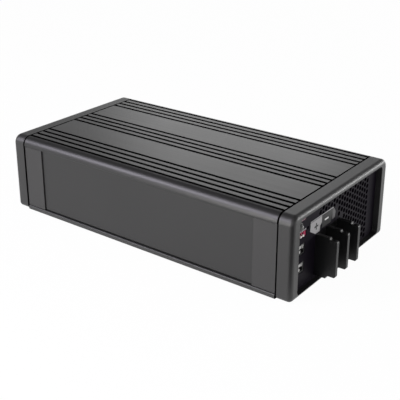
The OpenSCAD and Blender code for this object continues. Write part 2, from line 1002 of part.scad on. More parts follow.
module inlet_body() {
  color("#1a1a1c")
    mirror([1, 0, 0])
      translate([0, inlet_y, inlet_z])
        difference() {
          union() {
            along_x(panel_x, inlet_flange_t)
              soft_rect(inlet_flange_w, inlet_flange_h, inlet_flange_r);
            block_x(inlet_face - inlet_depth - inlet_floor, panel_x + fit, inlet_w, inlet_h);
          }
          along_x(inlet_face - inlet_depth, inlet_depth + over)
            inlet_mouth();
          for (side = [-1, 1])
            translate([0, side * inlet_screw_pitch / 2, 0]) {
              rod_x(panel_x - over, inlet_flange_t + 2 * over, screw_d + 2 * fit);
              translate([inlet_face, 0, 0])
                rotate([0, -90, 0])
                  countersunk_seat();
            }
          inlet_pin_places()
            inlet_pin();
        }
}

// The three pins: earth in the middle, above the other two
module inlet_pin_places() {
  for (spot = inlet_spots)
    translate([0, spot[0], spot[1]])
      children();
}

// One flat pin of the mains inlet, with its tail behind the body
module inlet_pin() {
  block_x(tail_x, inlet_face - blade_in, blade_t, blade_w);
}

// The pins, bent down behind the body and run to the board
module inlet_pins() {
  color("#cfd0cb")
    mirror([1, 0, 0])
      union() {
        translate([0, inlet_y, inlet_z])
          inlet_pin_places()
            inlet_pin();
        for (spot = inlet_spots)
          translate([tail_x, inlet_y + spot[0] - blade_t / 2, top_z])
            cube([tail_t, blade_t, inlet_z + spot[1] - top_z]);
      }
}

module inlet_screws() {
  color("silver")
    for (side = [-1, 1])
      translate([2 * fit - inlet_face, inlet_y + side * inlet_screw_pitch / 2, inlet_z])
        rotate([0, -90, 0])
          flush_screw(screw_d, inlet_screw_l);
}

inlet_screw_l = 6;
blade_tip_r = fan_bore_r - blade_gap;
tube_d = 4.6;
shaft_d = 2;
shaft_gap = 0.15;
strut_t = 2.4;
fan_corner_r = 3;
tube_in = 3;

// The fan's own frame of reference: its axis, from the rear panel inwards
module at_fan() {
  translate([-panel_back, fan_y, fan_z])
    children();
}

module fan_frame() {
  color("#18181a")
    at_fan()
      difference() {
        union() {
          difference() {
            along_x(0, fan_l)
              soft_rect(fan_size, fan_size, fan_corner_r);
            rod_x(-over, fan_l + 2 * over, 2 * fan_bore_r);
          }
          rod_x(fan_l - strut_t, strut_t, 2 * hub_r);
          rod_x(tube_in, fan_l - tube_in, tube_d);
          for (turn = [45 : 90 : 315])
            rotate([turn, 0, 0])
              translate([fan_l - strut_t, -strut_t / 2, 0])
                cube([strut_t, strut_t, fan_bore_r + fan_wall / 2]);
        }
        rod_x(-over, fan_l + 2 * over, shaft_d + 2 * shaft_gap);
        for (y = [-1, 1])
          for (z = [-1, 1])
            translate([0, y * fan_hole_pitch / 2, z * fan_hole_pitch / 2])
              rod_x(-over, fan_l + 2 * over, screw_d + 2 * fit);
      }
}

stator_r = hub_r - 2;
stator_x = 5;
stator_l = 8;
stator_rim = 1.1;
tooth_w = 1.8;
tooth_tip_w = 8;
coil_w = 1;
coil_r = 4.1;
coil_h = stator_r - stator_rim - coil_r - 0.5;

module fan_stator() {
  color("#8b8f94")
    at_fan()
      difference() {
        union() {
          rod_x(stator_x, stator_l, 2 * coil_r - 2 * fit);
          for (turn = [0 : 90 : 270])
            rotate([turn, 0, 0])
              translate([stator_x, -tooth_w / 2, 0])
                cube([stator_l, tooth_w, stator_r - stator_rim / 2]);
          intersection() {
            difference() {
              rod_x(stator_x, stator_l, 2 * stator_r);
              rod_x(stator_x - over, stator_l + 2 * over, 2 * (stator_r - stator_rim));
            }
            for (turn = [0 : 90 : 270])
              rotate([turn, 0, 0])
                translate([stator_x, -tooth_tip_w / 2, 0])
                  cube([stator_l, tooth_tip_w, stator_r + over]);
          }
        }
        rod_x(stator_x - over, stator_l + 2 * over, tube_d + fit);
      }
}

module fan_coils() {
  color("#b5673a")
    at_fan()
      for (turn = [0 : 90 : 270])
        rotate([turn, 0, 0])
          translate([0, 0, coil_r])
            difference() {
              translate([stator_x - coil_w, -tooth_w / 2 - coil_w, 0])
                cube([stator_l + 2 * coil_w, tooth_w + 2 * coil_w, coil_h]);
              translate([stator_x - fit, -tooth_w / 2 - fit, -over])
                cube([stator_l + 2 * fit, tooth_w + 2 * fit, coil_h + 2 * over]);
            }
}

rotor_in = 1.4;
rotor_l = fan_l - strut_t - rotor_in - 2;
cup_t = 1.2;
cap_gap = 0.6;

// One cambered and pitched blade, standing along +Z from the hub
module fan_blade() {
  camber_r = 11;
  thick = 0.9;
  chord = 13;
  pitch_angle = 38;
  translate([rotor_in + rotor_l / 2, 0, hub_r - cup_t])
    linear_extrude(height = blade_tip_r - hub_r + 2 * cup_t)
      rotate(pitch_angle)
        intersection() {
          translate([0, -camber_r])
            difference() {
              circle(r = camber_r + thick / 2);
              circle(r = camber_r - thick / 2);
            }
          square([chord, camber_r], center = true);
        }
}

module fan_rotor() {
  color("#222225")
    at_fan()
      union() {
        difference() {
          rod_x(rotor_in, rotor_l, 2 * hub_r);
          rod_x(rotor_in + cup_t, rotor_l, 2 * (hub_r - cup_t));
        }
        rod_x(rotor_in, fan_l - rotor_in - cap_gap, shaft_d);
        intersection() {
          difference() {
            rod_x(rotor_in, rotor_l, 2 * blade_tip_r);
            rod_x(0, fan_l, 2 * (hub_r - cup_t / 2));
          }
          for (i = [0 : blade_count - 1])
            rotate([i * 360 / blade_count, 0, 0])
              fan_blade();
        }
      }
}

small_head_w = 5.6;
small_head_h = 1.8;
fan_screw_l = 10;

module fan_screws() {
  color("silver")
    fan_corners()
      translate([-panel_x, 0, 0])
        rotate([0, -90, 0])
          pan_screw(screw_d, small_head_w, small_head_h, fan_screw_l);
}

lead_d = 1.2;
lead_pitch = 1.6;
lead_out = 4;
lead_y = fan_y + fan_size / 2 - 7;
lead_z = fan_z - fan_size / 4;

// The fan's lead, clipped between the frame and the board
module fan_lead() {
  start_x = fan_l - panel_back;
  color("#a02c2c")
    for (i = [0, 1])
      translate([start_x, lead_y + i * lead_pitch, lead_z]) {
        rotate([0, 90, 0])
          cylinder(h = lead_out, d = lead_d);
        translate([lead_out, 0, 0])
          sphere(d = lead_d);
        translate([lead_out, 0, top_z - lead_z])
          cylinder(h = lead_z - top_z, d = lead_d);
      }
}

board_y = flange_y - sheet_t - 0.6;
board_front = panel_back - 5;
board_rear = cover_x - 2;
board_gap = 3;
fan_cut_x = fan_l - panel_back + board_gap;
fan_cut_y = fan_y + fan_size / 2 + 2;
block_cut_x = panel_back - block_l - 1;
spacer_w = 6.2;
spacer_tip = 1;

// Places of the board's spacers
function spacer_spots() = [
  [fan_cut_x + spacer_in, spacer_in - board_y],
  [fan_cut_x + spacer_in, board_y - spacer_in],
  [spacer_in - board_rear, board_y - spacer_in],
  [board_front - 2 * spacer_in, spacer_in - board_y],
  [board_front - 2 * spacer_in, board_y - spacer_in],
  [0, 2 * spacer_in - board_y],
  [0, board_y - 2 * spacer_in]
];

module main_board() {
  color("#2f5d3a")
    difference() {
      translate([-board_rear, -board_y, board_z])
        cube([board_rear + board_front, 2 * board_y, board_t]);
      translate([-board_rear - over, -board_y - over, board_z - over])
        cube([fan_cut_x + board_rear + over, fan_cut_y + board_y + over, board_t + 2 * over]);
      translate([block_cut_x, pole_y - block_half - board_gap, board_z - over])
        cube([board_front - block_cut_x + over, 2 * (block_half + board_gap), board_t + 2 * over]);
      for (spot = spacer_spots())
        translate([spot[0], spot[1], board_z - over])
          cylinder(h = board_t + 2 * over, d = screw_d + 2 * fit);
    }
}

module board_spacers() {
  color("#cda75a")
    for (spot = spacer_spots())
      translate([spot[0], spot[1], base_t])
        difference() {
          cylinder(h = spacer_h, d = spacer_w, $fn = 6);
          translate([0, 0, -over])
            cylinder(h = spacer_h + 2 * over, d = screw_d + 2 * fit);
        }
}

module board_screws() {
  color("silver")
    for (spot = spacer_spots())
      translate([spot[0], spot[1], top_z])
        pan_screw(screw_d, small_head_w, small_head_h, board_t + spacer_h + base_t - spacer_tip);
}

fuse_x = fuse_in - tail_x;
fuse_y = inlet_y - 1;
fuse_z = top_z + 6;
cap_l = 5;
clip_w = 4;
clip_t = 0.5;

module fuse() {
  color("#d8d8cf")
    translate([fuse_x, fuse_y, fuse_z])
      union() {
        rod_y(-fuse_l / 2, fuse_l, fuse_d - 4 * fit);
        for (y = [-fuse_l / 2, fuse_l / 2 - cap_l])
          rod_y(y, cap_l, fuse_d);
      }
}

module fuse_clips() {
  color("#d0c08a")
    for (side = [-1, 1])
      translate([fuse_x, fuse_y + side * (fuse_l - cap_l) / 2 - clip_w / 2, 0])
        difference() {
          union() {
            translate([0, 0, fuse_z])
              rod_y(0, clip_w, fuse_d + 2 * clip_t);
            translate([-clip_w / 2, 0, top_z])
              cube([clip_w, clip_w, fuse_z - top_z - fuse_d / 2 + clip_t]);
          }
          translate([0, 0, fuse_z])
            rod_y(-over, clip_w + 2 * over, fuse_d + fit);
          translate([-clip_w / 2, -over, fuse_z + fuse_d / 4])
            cube([clip_w, clip_w + 2 * over, clip_w]);
        }
}

line_can_x = fuse_x + line_can_w / 2 + 7;

module line_capacitor() {
  color("#c9a227")
    translate([line_can_x, inlet_y - 2, top_z])
      linear_extrude(height = line_can_h)
        soft_rect(line_can_w, line_can_l, 1);
}

// A ring core that lies flat on the board
module ring_core(outer_d, inner_d, h, lift) {
  soft = 1.5;
  translate([0, 0, top_z + lift])
    rotate_extrude()
      translate([(outer_d + inner_d) / 4, 0])
        arch_rect((outer_d - inner_d) / 2, h, soft, soft);
}

// Turns of wire round a ring core, from one angle to the next
module ring_winding(outer_d, inner_d, h, lift, wire_d, first, last, count) {
  band = (outer_d - inner_d) / 2;
  for (i = [0 : count - 1])
    rotate([0, 0, first + (last - first) * i / (count - 1)])
      translate([(outer_d + inner_d) / 4, wire_d / 2, top_z + lift - wire_d - fit])
        rotate([90, 0, 0])
          linear_extrude(height = wire_d)
            difference() {
              arch_rect(band + 2 * wire_d, h + 2 * wire_d, wire_d, wire_d);
              translate([0, wire_d])
                arch_rect(band + 4 * fit, h + 2 * fit, fit, fit);
            }
}

line_ring_h = 10;
line_bore = line_ring_d - 10;
line_wire_d = 1;
line_lift = line_wire_d + 2 * fit;
line_spread = 58;
line_turns = 9;
choke_x = line_can_x + line_can_w / 2 + line_ring_d / 2 + 6;

module line_choke_core() {
  color("#3f6f4a")
    translate([choke_x, inlet_y - 2, 0])
      ring_core(line_ring_d, line_bore, line_ring_h, line_lift);
}

module line_choke_windings() {
  color("#b5673a")
    translate([choke_x, inlet_y - 2, 0])
      for (side = [0, 180])
        rotate([0, 0, side])
          ring_winding(
            line_ring_d, line_bore, line_ring_h, line_lift,
            line_wire_d, -line_spread, line_spread, line_turns
          );
}

boost_ring_h = 14;
boost_bore = boost_ring_d - 14;
boost_wire_d = 1.6;
boost_lift = boost_wire_d + 2 * fit;
boost_gap = 15;
boost_turns = 25;
boost_y = -16;

module boost_choke_core() {
  color("#39506f")
    translate([choke_x, boost_y, 0])
      ring_core(boost_ring_d, boost_bore, boost_ring_h, boost_lift);
}

module boost_choke_winding() {
  color("#b5673a")
    translate([choke_x, boost_y, 0])
      ring_winding(
        boost_ring_d, boost_bore, boost_ring_h, boost_lift,
        boost_wire_d, boost_gap, 360 - boost_gap, boost_turns
      );
}

package_w = 15.6;
package_t = 4.8;
package_h = 20;
package_z = top_z + 7;
package_face = board_y - heat_bar_t;
package_hole_z = package_z + package_h - 4;
leg_pitch = 5.45;
leg_w = 1.2;
leg_t = 0.6;

core_l = 40;
core_gap = 5.4;
core_y = package_face - package_t - small_head_h - core_gap - core_l / 2;

tall_h = inner_top - top_z - headroom;
bulk_x = choke_x + line_ring_d / 2 + bulk_d / 2 + 4;
bulk_y = core_y;

module bulk_capacitor() {
  color("#20242c")
    translate([bulk_x, bulk_y, top_z])
      rotate_extrude()
        can_profile(bulk_d / 2, tall_h);
}

// Half the section of a can capacitor, with the bead above its foot
module can_profile(r, h) {
  bead = r / 9;
  dish = 0.4;
  difference() {
    union() {
      square([r, h - bead]);
      square([r - bead, h]);
      translate([r - bead, h - bead])
        circle(r = bead);
    }
    translate([r + bead / 3, h / 8])
      circle(r = bead);
    translate([-over, h - dish])
      square([r - 2 * bead + over, over]);
  }
}

core_x = 22.5;
yoke_w = 16;
yoke_t = 7;
leg_d = 12;
flange_d = core_l - 2 * yoke_t - 6 * fit;
flange_t = 1.5;
bobbin_z = top_z + yoke_t + 2 * fit;
bobbin_h = tall_h - 2 * yoke_t - 4 * fit;
tube_t = 1.5;

module transformer_core() {
  color("#2c2c30")
    translate([core_x, core_y, top_z])
      union() {
        for (side = [-1, 1])
          translate([-yoke_w / 2, side * (core_l - yoke_t) / 2 - yoke_t / 2, 0])
            cube([yoke_w, yoke_t, tall_h]);
        for (z = [0, tall_h - yoke_t])
          translate([-yoke_w / 2, -core_l / 2, z])
            cube([yoke_w, core_l, yoke_t]);
        cylinder(h = tall_h, d = leg_d);
      }
}

module transformer_bobbin() {
  color("#1f1f22")
    translate([core_x, core_y, bobbin_z])
      difference() {
        union() {
          cylinder(h = bobbin_h, d = leg_d + 2 * tube_t);
          for (z = [0, bobbin_h - flange_t])
            translate([0, 0, z])
              cylinder(h = flange_t, d = flange_d);
        }
        translate([0, 0, -over])
          cylinder(h = bobbin_h + 2 * over, d = leg_d + 4 * fit);
      }
}

module transformer_winding() {
  color("#c9a24a")
    translate([core_x, core_y, bobbin_z + flange_t + fit])
      difference() {
        cylinder(h = bobbin_h - 2 * flange_t - 2 * fit, d = flange_d - 1);
        translate([0, 0, -over])
          cylinder(h = bobbin_h, d = leg_d + 2 * tube_t + 2 * fit);
      }
}

heat_bar_l = 2 * (cover_x - heat_bar_in);
heat_bar_h = tall_h;
bar_foot = base_t + upstand_h + 1.5;
bar_head = top_z + heat_bar_h - 2;

// An extruded bar that leads heat from the packages into the side wall
module heat_bar() {
  along_x(-heat_bar_l / 2, heat_bar_l) {
    translate([board_y - heat_bar_t, top_z])
      square([heat_bar_t, heat_bar_h]);
    translate([board_y - fit, bar_foot])
      square([seat_y - board_y + fit, bar_head - bar_foot]);
  }
}

module heat_bar_left() {
  color("#b4b7ba")
    difference() {
      mirror([0, 1, 0])
        heat_bar();
      package_screw_holes(-1);
    }
}

module heat_bar_right() {
  color("#b4b7ba")
    difference() {
      heat_bar();
      package_screw_holes(1);
    }
}

// Packages along one side: places of their middles
function package_spots() = [-2 * package_pitch, -package_pitch, package_pitch, 2 * package_pitch];

module package_screw_holes(side) {
  for (x = package_spots())
    mirror([0, side < 0 ? 1 : 0, 0])
      translate([x, 0, package_hole_z])
        rod_y(package_face - over, heat_bar_t + over, screw_d);
}

module power_transistors() {
  color("#1b1b1d")
    for (side = [0, 1])
      mirror([0, side, 0])
        for (x = package_spots())
          translate([x, 0, 0])
            difference() {
              union() {
                translate([-package_w / 2, package_face - package_t, package_z])
                  cube([package_w, package_t, package_h]);
                for (i = [-1, 0, 1])
                  translate([
                    i * leg_pitch - leg_w / 2,
                    package_face - (package_t + leg_t) / 2,
                    top_z
                  ])
                    cube([leg_w, leg_t, package_z - top_z + over]);
              }
              translate([0, 0, package_hole_z])
                rod_y(package_face - package_t - over, package_t + 2 * over, screw_d + 4 * fit);
            }
}

module power_screws() {
  color("silver")
    for (side = [0, 1])
      mirror([0, side, 0])
        for (x = package_spots())
          translate([x, package_face - package_t, package_hole_z])
            rotate([90, 0, 0])
              pan_screw(screw_d - fit, small_head_w, small_head_h, package_t + heat_bar_t - 2 * leg_t);
}

output_ring_h = 11;
output_bore = output_ring_d - 12;
output_wire_d = 1.8;
output_lift = output_wire_d + 2 * fit;
output_gap = 20;
output_turns = 16;
can_gap = 2;
can_rows = 2;
can_columns = 3;
can_in = 9.5;
can_x = block_cut_x - can_in - (can_columns - 1) * (can_d + can_gap);
output_in = 28.5;
output_x = block_cut_x - output_in;
output_y = -20;
can_side_gap = 14.25;
can_y = board_y - can_side_gap - can_d / 2 - (can_rows - 1) * (can_d + can_gap);

module output_choke_core() {
  color("#c4b23a")
    translate([output_x, output_y, 0])
      ring_core(output_ring_d, output_bore, output_ring_h, output_lift);
}

module output_choke_winding() {
  color("#b5673a")
    translate([output_x, output_y, 0])
      ring_winding(
        output_ring_d, output_bore, output_ring_h, output_lift,
        output_wire_d, output_gap, 360 - output_gap, output_turns
      );
}

module output_capacitors() {
  color("#20242c")
    for (i = [0 : can_columns - 1])
      for (j = [0 : can_rows - 1])
        translate([can_x + i * (can_d + can_gap), can_y + j * (can_d + can_gap), top_z])
          rotate_extrude()
            can_profile(can_d / 2, can_h);
}

control_x = -8;
control_y = -24;
control_lift = 2;
header_pitch = 4;
header_w = 0.6;

// The upright control board on its row of header pins
module control_board() {
  color("#2f5d3a")
    translate([control_x, control_y, top_z])
      union() {
        translate([0, 0, control_lift])
          cube([control_l, board_t, control_h]);
        for (x = [header_pitch : header_pitch : control_l - header_pitch])
          translate([x - header_w / 2, 0, 0])
            cube([header_w, board_t, control_lift + fit]);
      }
}

cover();
base_plate();
front_bezel();
rear_bezel();
front_panel();
rear_panel();
side_plate_front_left();
side_plate_front_right();
side_plate_rear_left();
side_plate_rear_right();
case_screws();
terminal_block();
positive_tab();
negative_tab();
terminal_nuts();
clamp_washers();
terminal_screws();
status_lamp();
lamp_holder();
switch_body();
switch_lever_left();
switch_lever_right();
sensor_socket();
remote_socket();
socket_pins();
signal_board();
inlet_body();
inlet_pins();
inlet_screws();
fan_frame();
fan_stator();
fan_coils();
fan_rotor();
fan_screws();
fan_lead();
main_board();
board_spacers();
board_screws();
fuse();
fuse_clips();
line_capacitor();
line_choke_core();
line_choke_windings();
boost_choke_core();
boost_choke_winding();
bulk_capacitor();
transformer_core();
transformer_bobbin();
transformer_winding();
heat_bar_left();
heat_bar_right();
power_transistors();
power_screws();
output_choke_core();
output_choke_winding();
output_capacitors();
control_board();
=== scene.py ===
"""A battery charger in a black extruded case, dressed and lit for a plain studio view."""

import logging
import math
from dataclasses import dataclass, field
from enum import Enum
from typing import Any, Optional, Sequence, Union

import bmesh
import bpy
from mathutils import Matrix, Vector


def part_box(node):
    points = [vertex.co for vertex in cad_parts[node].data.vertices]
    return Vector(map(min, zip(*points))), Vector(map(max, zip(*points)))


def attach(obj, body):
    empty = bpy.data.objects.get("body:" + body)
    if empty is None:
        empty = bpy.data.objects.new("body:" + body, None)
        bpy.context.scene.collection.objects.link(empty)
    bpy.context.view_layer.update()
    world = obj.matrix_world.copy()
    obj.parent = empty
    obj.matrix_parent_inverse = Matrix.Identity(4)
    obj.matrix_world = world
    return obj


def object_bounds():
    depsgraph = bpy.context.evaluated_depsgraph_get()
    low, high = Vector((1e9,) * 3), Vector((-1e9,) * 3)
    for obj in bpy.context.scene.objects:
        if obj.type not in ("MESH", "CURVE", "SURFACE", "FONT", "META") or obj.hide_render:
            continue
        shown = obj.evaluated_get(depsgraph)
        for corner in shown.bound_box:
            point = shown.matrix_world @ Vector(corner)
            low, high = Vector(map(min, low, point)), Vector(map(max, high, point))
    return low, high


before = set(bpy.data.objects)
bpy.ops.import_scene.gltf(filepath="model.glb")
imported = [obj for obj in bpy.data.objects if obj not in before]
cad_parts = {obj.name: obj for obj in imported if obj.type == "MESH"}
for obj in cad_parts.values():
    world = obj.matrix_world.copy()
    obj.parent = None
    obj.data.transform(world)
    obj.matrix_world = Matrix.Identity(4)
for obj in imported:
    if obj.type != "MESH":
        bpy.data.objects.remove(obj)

LOG = logging.getLogger("charger")
MM = 0.001
CASE = "case"
CAD_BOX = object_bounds()
# The black painted as shade in seams and grooves, and as the floor's painted dark reflection: what
# shows in a gap that hardly any light leaves.
BLACK = (0.0015, 0.0015, 0.0015, 1.0)
BEVEL_SAMPLES = 6
# The Mix node has several sockets of the same name, so those for colours go by number.
MIX_FIRST, MIX_SECOND, MIX_RESULT = 6, 7, 2

Owner = Union[bpy.types.Material, bpy.types.World]
Number = Union[int, float]
Term = Union["Wire", Number]
Colour = tuple[float, float, float]
Span = tuple[float, float]
Point = tuple[float, float]
Spot = tuple[float, float, float]
# A rectangle: its middle as y and z, its width and its height.
Box = tuple[float, float, float, float]


class Wire:
    """A node's output socket that takes part in arithmetic."""

    def __init__(self, sheet: "Sheet", socket: bpy.types.NodeSocket) -> None:
        """Keeps the socket and the sheet that new nodes go on.

        Args:
            sheet: the node sheet that the socket is on.
            socket: the output socket that this wire leaves.
        """
        self.sheet = sheet
        self.socket = socket

    def _math(self, operation: str, *terms: Term) -> "Wire":
        """Adds one Math node.

        Args:
            operation: the Math node's operation.
            terms: its inputs in order.

        Returns:
            The wire of its result.
        """
        return self.sheet.add("ShaderNodeMath", {"operation": operation}, dict(enumerate(terms)))

    def __add__(self, other: Term) -> "Wire":
        """Returns self + other."""
        return self._math("ADD", self, other)

    __radd__ = __add__

    def __mul__(self, other: Term) -> "Wire":
        """Returns self * other."""
        return self._math("MULTIPLY", self, other)

    __rmul__ = __mul__

    def __sub__(self, other: Term) -> "Wire":
        """Returns self - other."""
        return self._math("SUBTRACT", self, other)

    def __rsub__(self, other: Term) -> "Wire":
        """Returns other - self."""
        return self._math("SUBTRACT", other, self)

    def __abs__(self) -> "Wire":
        """Returns self without its sign."""
        return self._math("ABSOLUTE", self)

    def __or__(self, other: "Wire") -> "Wire":
        """Returns the larger of two masks."""
        return self._math("MAXIMUM", self, other)

    def __invert__(self) -> "Wire":
        """Returns a mask's opposite."""
        return 1 - self

    def folded(self, span: Number) -> "Wire":
        """Returns self folded to and fro between 0 and the span."""
        return self._math("PINGPONG", self, span)

    def sway(self, width: Number) -> "Wire":
        """Returns a wave from 0 to 1 as one about zero, that wide."""
        return (self - 0.5) * width


class Sheet:
    """The node sheet of one material or world."""

    def __init__(self, owner: Owner) -> None:
        """Clears the owner's nodes.

        Args:
            owner: the material or world that the sheet belongs to.
        """
        owner.use_nodes = True
        self.owner = owner
        self.tree = owner.node_tree
        self.tree.nodes.clear()

    @classmethod
    def named(cls, name: str) -> "Sheet":
        """Returns the sheet of a new material of that name."""
        return cls(bpy.data.materials.new(name))

    def add(
        self,
        kind: str,
        settings: dict[str, Any],
        inputs: dict[Union[int, str], Any],
        output: Union[int, str] = 0,
    ) -> Wire:
        """Adds one node: first its settings, then its sockets.

        Args:
            kind: the node's type.
            settings: properties by name; "stops" holds a ramp's places and greys.
            inputs: values or wires by socket name or number.
            output: the output socket wanted.

        Returns:
            The wire of that output.
        """
        node = self.tree.nodes.new(kind)
        for key, value in settings.items():
            if key == "stops":
                self._set_stops(node.color_ramp, value)
            else:
                setattr(node, key, value)
        for key, value in inputs.items():
            if isinstance(value, Wire):
                self.tree.links.new(value.socket, node.inputs[key])
            else:
                node.inputs[key].default_value = value
        return Wire(self, node.outputs[output])

    @staticmethod
    def _set_stops(ramp: bpy.types.ColorRamp, stops: Sequence[Span]) -> None:
        """Gives a new ramp its stops.

        Args:
            ramp: the ramp, which has two elements at first.
            stops: the place and the grey of each stop.
        """
        while len(ramp.elements) < len(stops):
            ramp.elements.new(1.0)
        for element, (place, grey) in zip(list(ramp.elements), stops):
            element.position = place
            element.color = (grey, grey, grey, 1.0)

    def place(self, stretch: Spot = (1.0, 1.0, 1.0)) -> Wire:
        """Returns the point on the part in metres, each axis scaled by stretch."""
        point = self.add("ShaderNodeTexCoord", {}, {}, "Object")
        return self.add("ShaderNodeVectorMath", {"operation": "MULTIPLY"}, {0: point, 1: stretch})

    def along(self, axis: str) -> Wire:
        """Returns one coordinate of the point on the part, in metres, by its letter."""
        return self.add("ShaderNodeSeparateXYZ", {}, {"Vector": self.place()}, axis)

    def noise(self, where: Wire, scale: float, octaves: float = 2.0) -> Wire:
        """Adds soft noise.

        Args:
            where: the place to read it at.
            scale: features in each metre.
            octaves: how many finer layers are added up.

        Returns:
            The noise from 0 to 1.
        """
        inputs = {"Vector": where, "Scale": scale, "Detail": octaves}
        return self.add("ShaderNodeTexNoise", {}, inputs)

    def cells(self, where: Wire, scale: float) -> Wire:
        """Adds scattered cells.

        Args:
            where: the place to read them at.
            scale: cells in each metre.

        Returns:
            The distance to the nearest cell's middle.
        """
        return self.add("ShaderNodeTexVoronoi", {}, {"Vector": where, "Scale": scale}, "Distance")

    def ramp(self, value: Wire, low: float, high: float) -> Wire:
        """Returns the value mapped from low..high to 0..1 and held there."""
        inputs = {"Value": value, "From Min": low, "From Max": high}
        return self.add("ShaderNodeMapRange", {"clamp": True}, inputs)

    def beside(self, low: float, high: float, soft: float = 0.0001) -> Wire:
        """Adds a mask of two bands across the part, one on each side of its middle.

        Args:
            low: how far along X from the middle the bands begin, in metres.
            high: how far from it they end.
            soft: the width of their soft edges.

        Returns:
            The mask, which is 1 in the bands.
        """
        x = abs(self.along("X"))
        return self.ramp(x, low, low + soft) * ~self.ramp(x, high, high + soft)

    def tint(self, factor: Wire, first: Colour, second: Colour) -> Wire:
        """Returns a colour that goes from first to second with the factor."""
        inputs = {"Factor": factor, MIX_FIRST: (*first, 1.0), MIX_SECOND: (*second, 1.0)}
        return self.add("ShaderNodeMix", {"data_type": "RGBA"}, inputs, MIX_RESULT)

    def bump(self, height: Wire, depth: float, strength: float = 1.0, edge: float = 0.0) -> Wire:
        """Adds a relief.

        Args:
            height: the relief from 0 to 1.
            depth: the relief's depth in metres.
            strength: how much of the bend is kept.
            edge: the radius that sharp edges seem to have, in metres.

        Returns:
            The bent normal.
        """
        inputs: dict[str, Any] = {"Height": height, "Distance": depth, "Strength": strength}
        if edge:
            settings = {"samples": BEVEL_SAMPLES}
            inputs["Normal"] = self.add("ShaderNodeBevel", settings, {"Radius": edge})
        return self.add("ShaderNodeBump", {}, inputs, "Normal")

    def mixed(self, factor: Wire, first: Wire, second: Wire) -> Wire:
        """Returns a shader that goes from first to second with the factor."""
        return self.add("ShaderNodeMixShader", {}, {0: factor, 1: first, 2: second})

    def diffuse(self, colour: Union[Wire, tuple[float, ...]]) -> Wire:
        """Returns a plain dull shader of that colour."""
        return self.add("ShaderNodeBsdfDiffuse", {}, {"Color": colour})

    def ray(self, kind: str) -> Wire:
        """Returns 1 for rays of that kind, and 0 for the others."""
        return self.add("ShaderNodeLightPath", {}, {}, f"Is {kind} Ray")

    def seen_directly(self) -> Wire:
        """Returns 1 for rays from the camera, mirrors and glass, and 0 for the others."""
        return self.ray("Camera") | self.ray("Glossy") | self.ray("Transmission")

    def surface(self, painted_shade_mask: Optional[Wire] = None, **sockets: Any) -> bpy.types.Material:
        """Ends the sheet in a Principled surface.

        Args:
            painted_shade_mask: a mask of the places painted dead black as shade, if there are any.
            sockets: values or wires by socket name, with _ for a space.

        Returns:
            The finished material.
        """
        inputs = {key.replace("_", " "): value for key, value in sockets.items()}
        skin = self.add("ShaderNodeBsdfPrincipled", {}, inputs)
        if painted_shade_mask is None:
            return self.end(skin)
        # Painted shade: where the mask is 1, plain black stands in for the shade.
        return self.end(self.mixed(painted_shade_mask, skin, self.diffuse(BLACK)))

    def end(self, shader: Wire, output: str = "ShaderNodeOutputMaterial") -> Owner:
        """Ends the sheet in a shader.

        Args:
            shader: the last shader.
            output: the output node's type.

        Returns:
            The finished material or world.
        """
        last = self.tree.nodes.new(output)
        self.tree.links.new(shader.socket, last.inputs["Surface"])
        return self.owner


@dataclass(frozen=True)
class Finish:
    """What every finish has: a name, a colour and a roughness.

    The finishes' lengths are in metres, and their scales are features in each metre.
    """

    name: str
    colour: Colour
    roughness: float

    def toned(self, sheet: Sheet, factor: Wire, tones: Span) -> Wire:
        """Adds the colour with its light and dark places.

        Args:
            sheet: the material's node sheet.
            factor: what the tone follows, from 0 to 1.
            tones: the tones at 0 and at 1, as shares of the colour.

        Returns:
            The colour as it changes over the surface.
        """
        first, second = (self._scaled(tone) for tone in tones)
        return sheet.tint(factor, first, second)

    def _scaled(self, factor: float) -> Colour:
        """Returns the colour made lighter or darker."""
        red, green, blue = (min(1.0, part * factor) for part in self.colour)
        return red, green, blue


@dataclass(frozen=True)
class Anodised(Finish):
    """Black anodised extrusion: faint die lines along X under a satin skin."""

    line_scale: float = 900.0
    line_stretch: float = 0.006
    line_depth: float = 3e-6
    line_share: float = 0.7
    line_sway: float = 0.10
    cloud_scale: float = 18.0
    cloud_sway: float = 0.05
    grain_scale: float = 5200.0
    tones: Span = (0.9, 1.12)
    edge: float = 0.0003
    # Painted shade: the span along X from the middle where the ends are painted black as shade in
    # the seams.
    seam: Span = (0.0993, 0.2)

    def build(self) -> bpy.types.Material:
        """Builds the skin from long streaks, a slow cloud and a fine grain.

        Returns:
            The finished material.
        """
        sheet = Sheet.named(self.name)
        streaks = sheet.place((self.line_stretch, 1.0, 1.0))
        lines = sheet.noise(streaks, self.line_scale, octaves=3.0)
        cloud = sheet.noise(sheet.place(), self.cloud_scale, octaves=3.0)
        grain = sheet.noise(sheet.place(), self.grain_scale, octaves=1.0)
        relief = lines * self.line_share + grain * (1.0 - self.line_share)
        return sheet.surface(
            self.painted_shade_mask(sheet),
            Base_Color=self.toned(sheet, cloud, self.tones),
            Roughness=self.roughness + lines.sway(self.line_sway) + cloud.sway(self.cloud_sway),
            Normal=sheet.bump(relief, self.line_depth, edge=self.edge),
        )

    def painted_shade_mask(self, sheet: Sheet) -> Wire:
        """Returns the mask of painted shade: the ends that face the seams are painted dead black.
        """
        return sheet.beside(*self.seam)


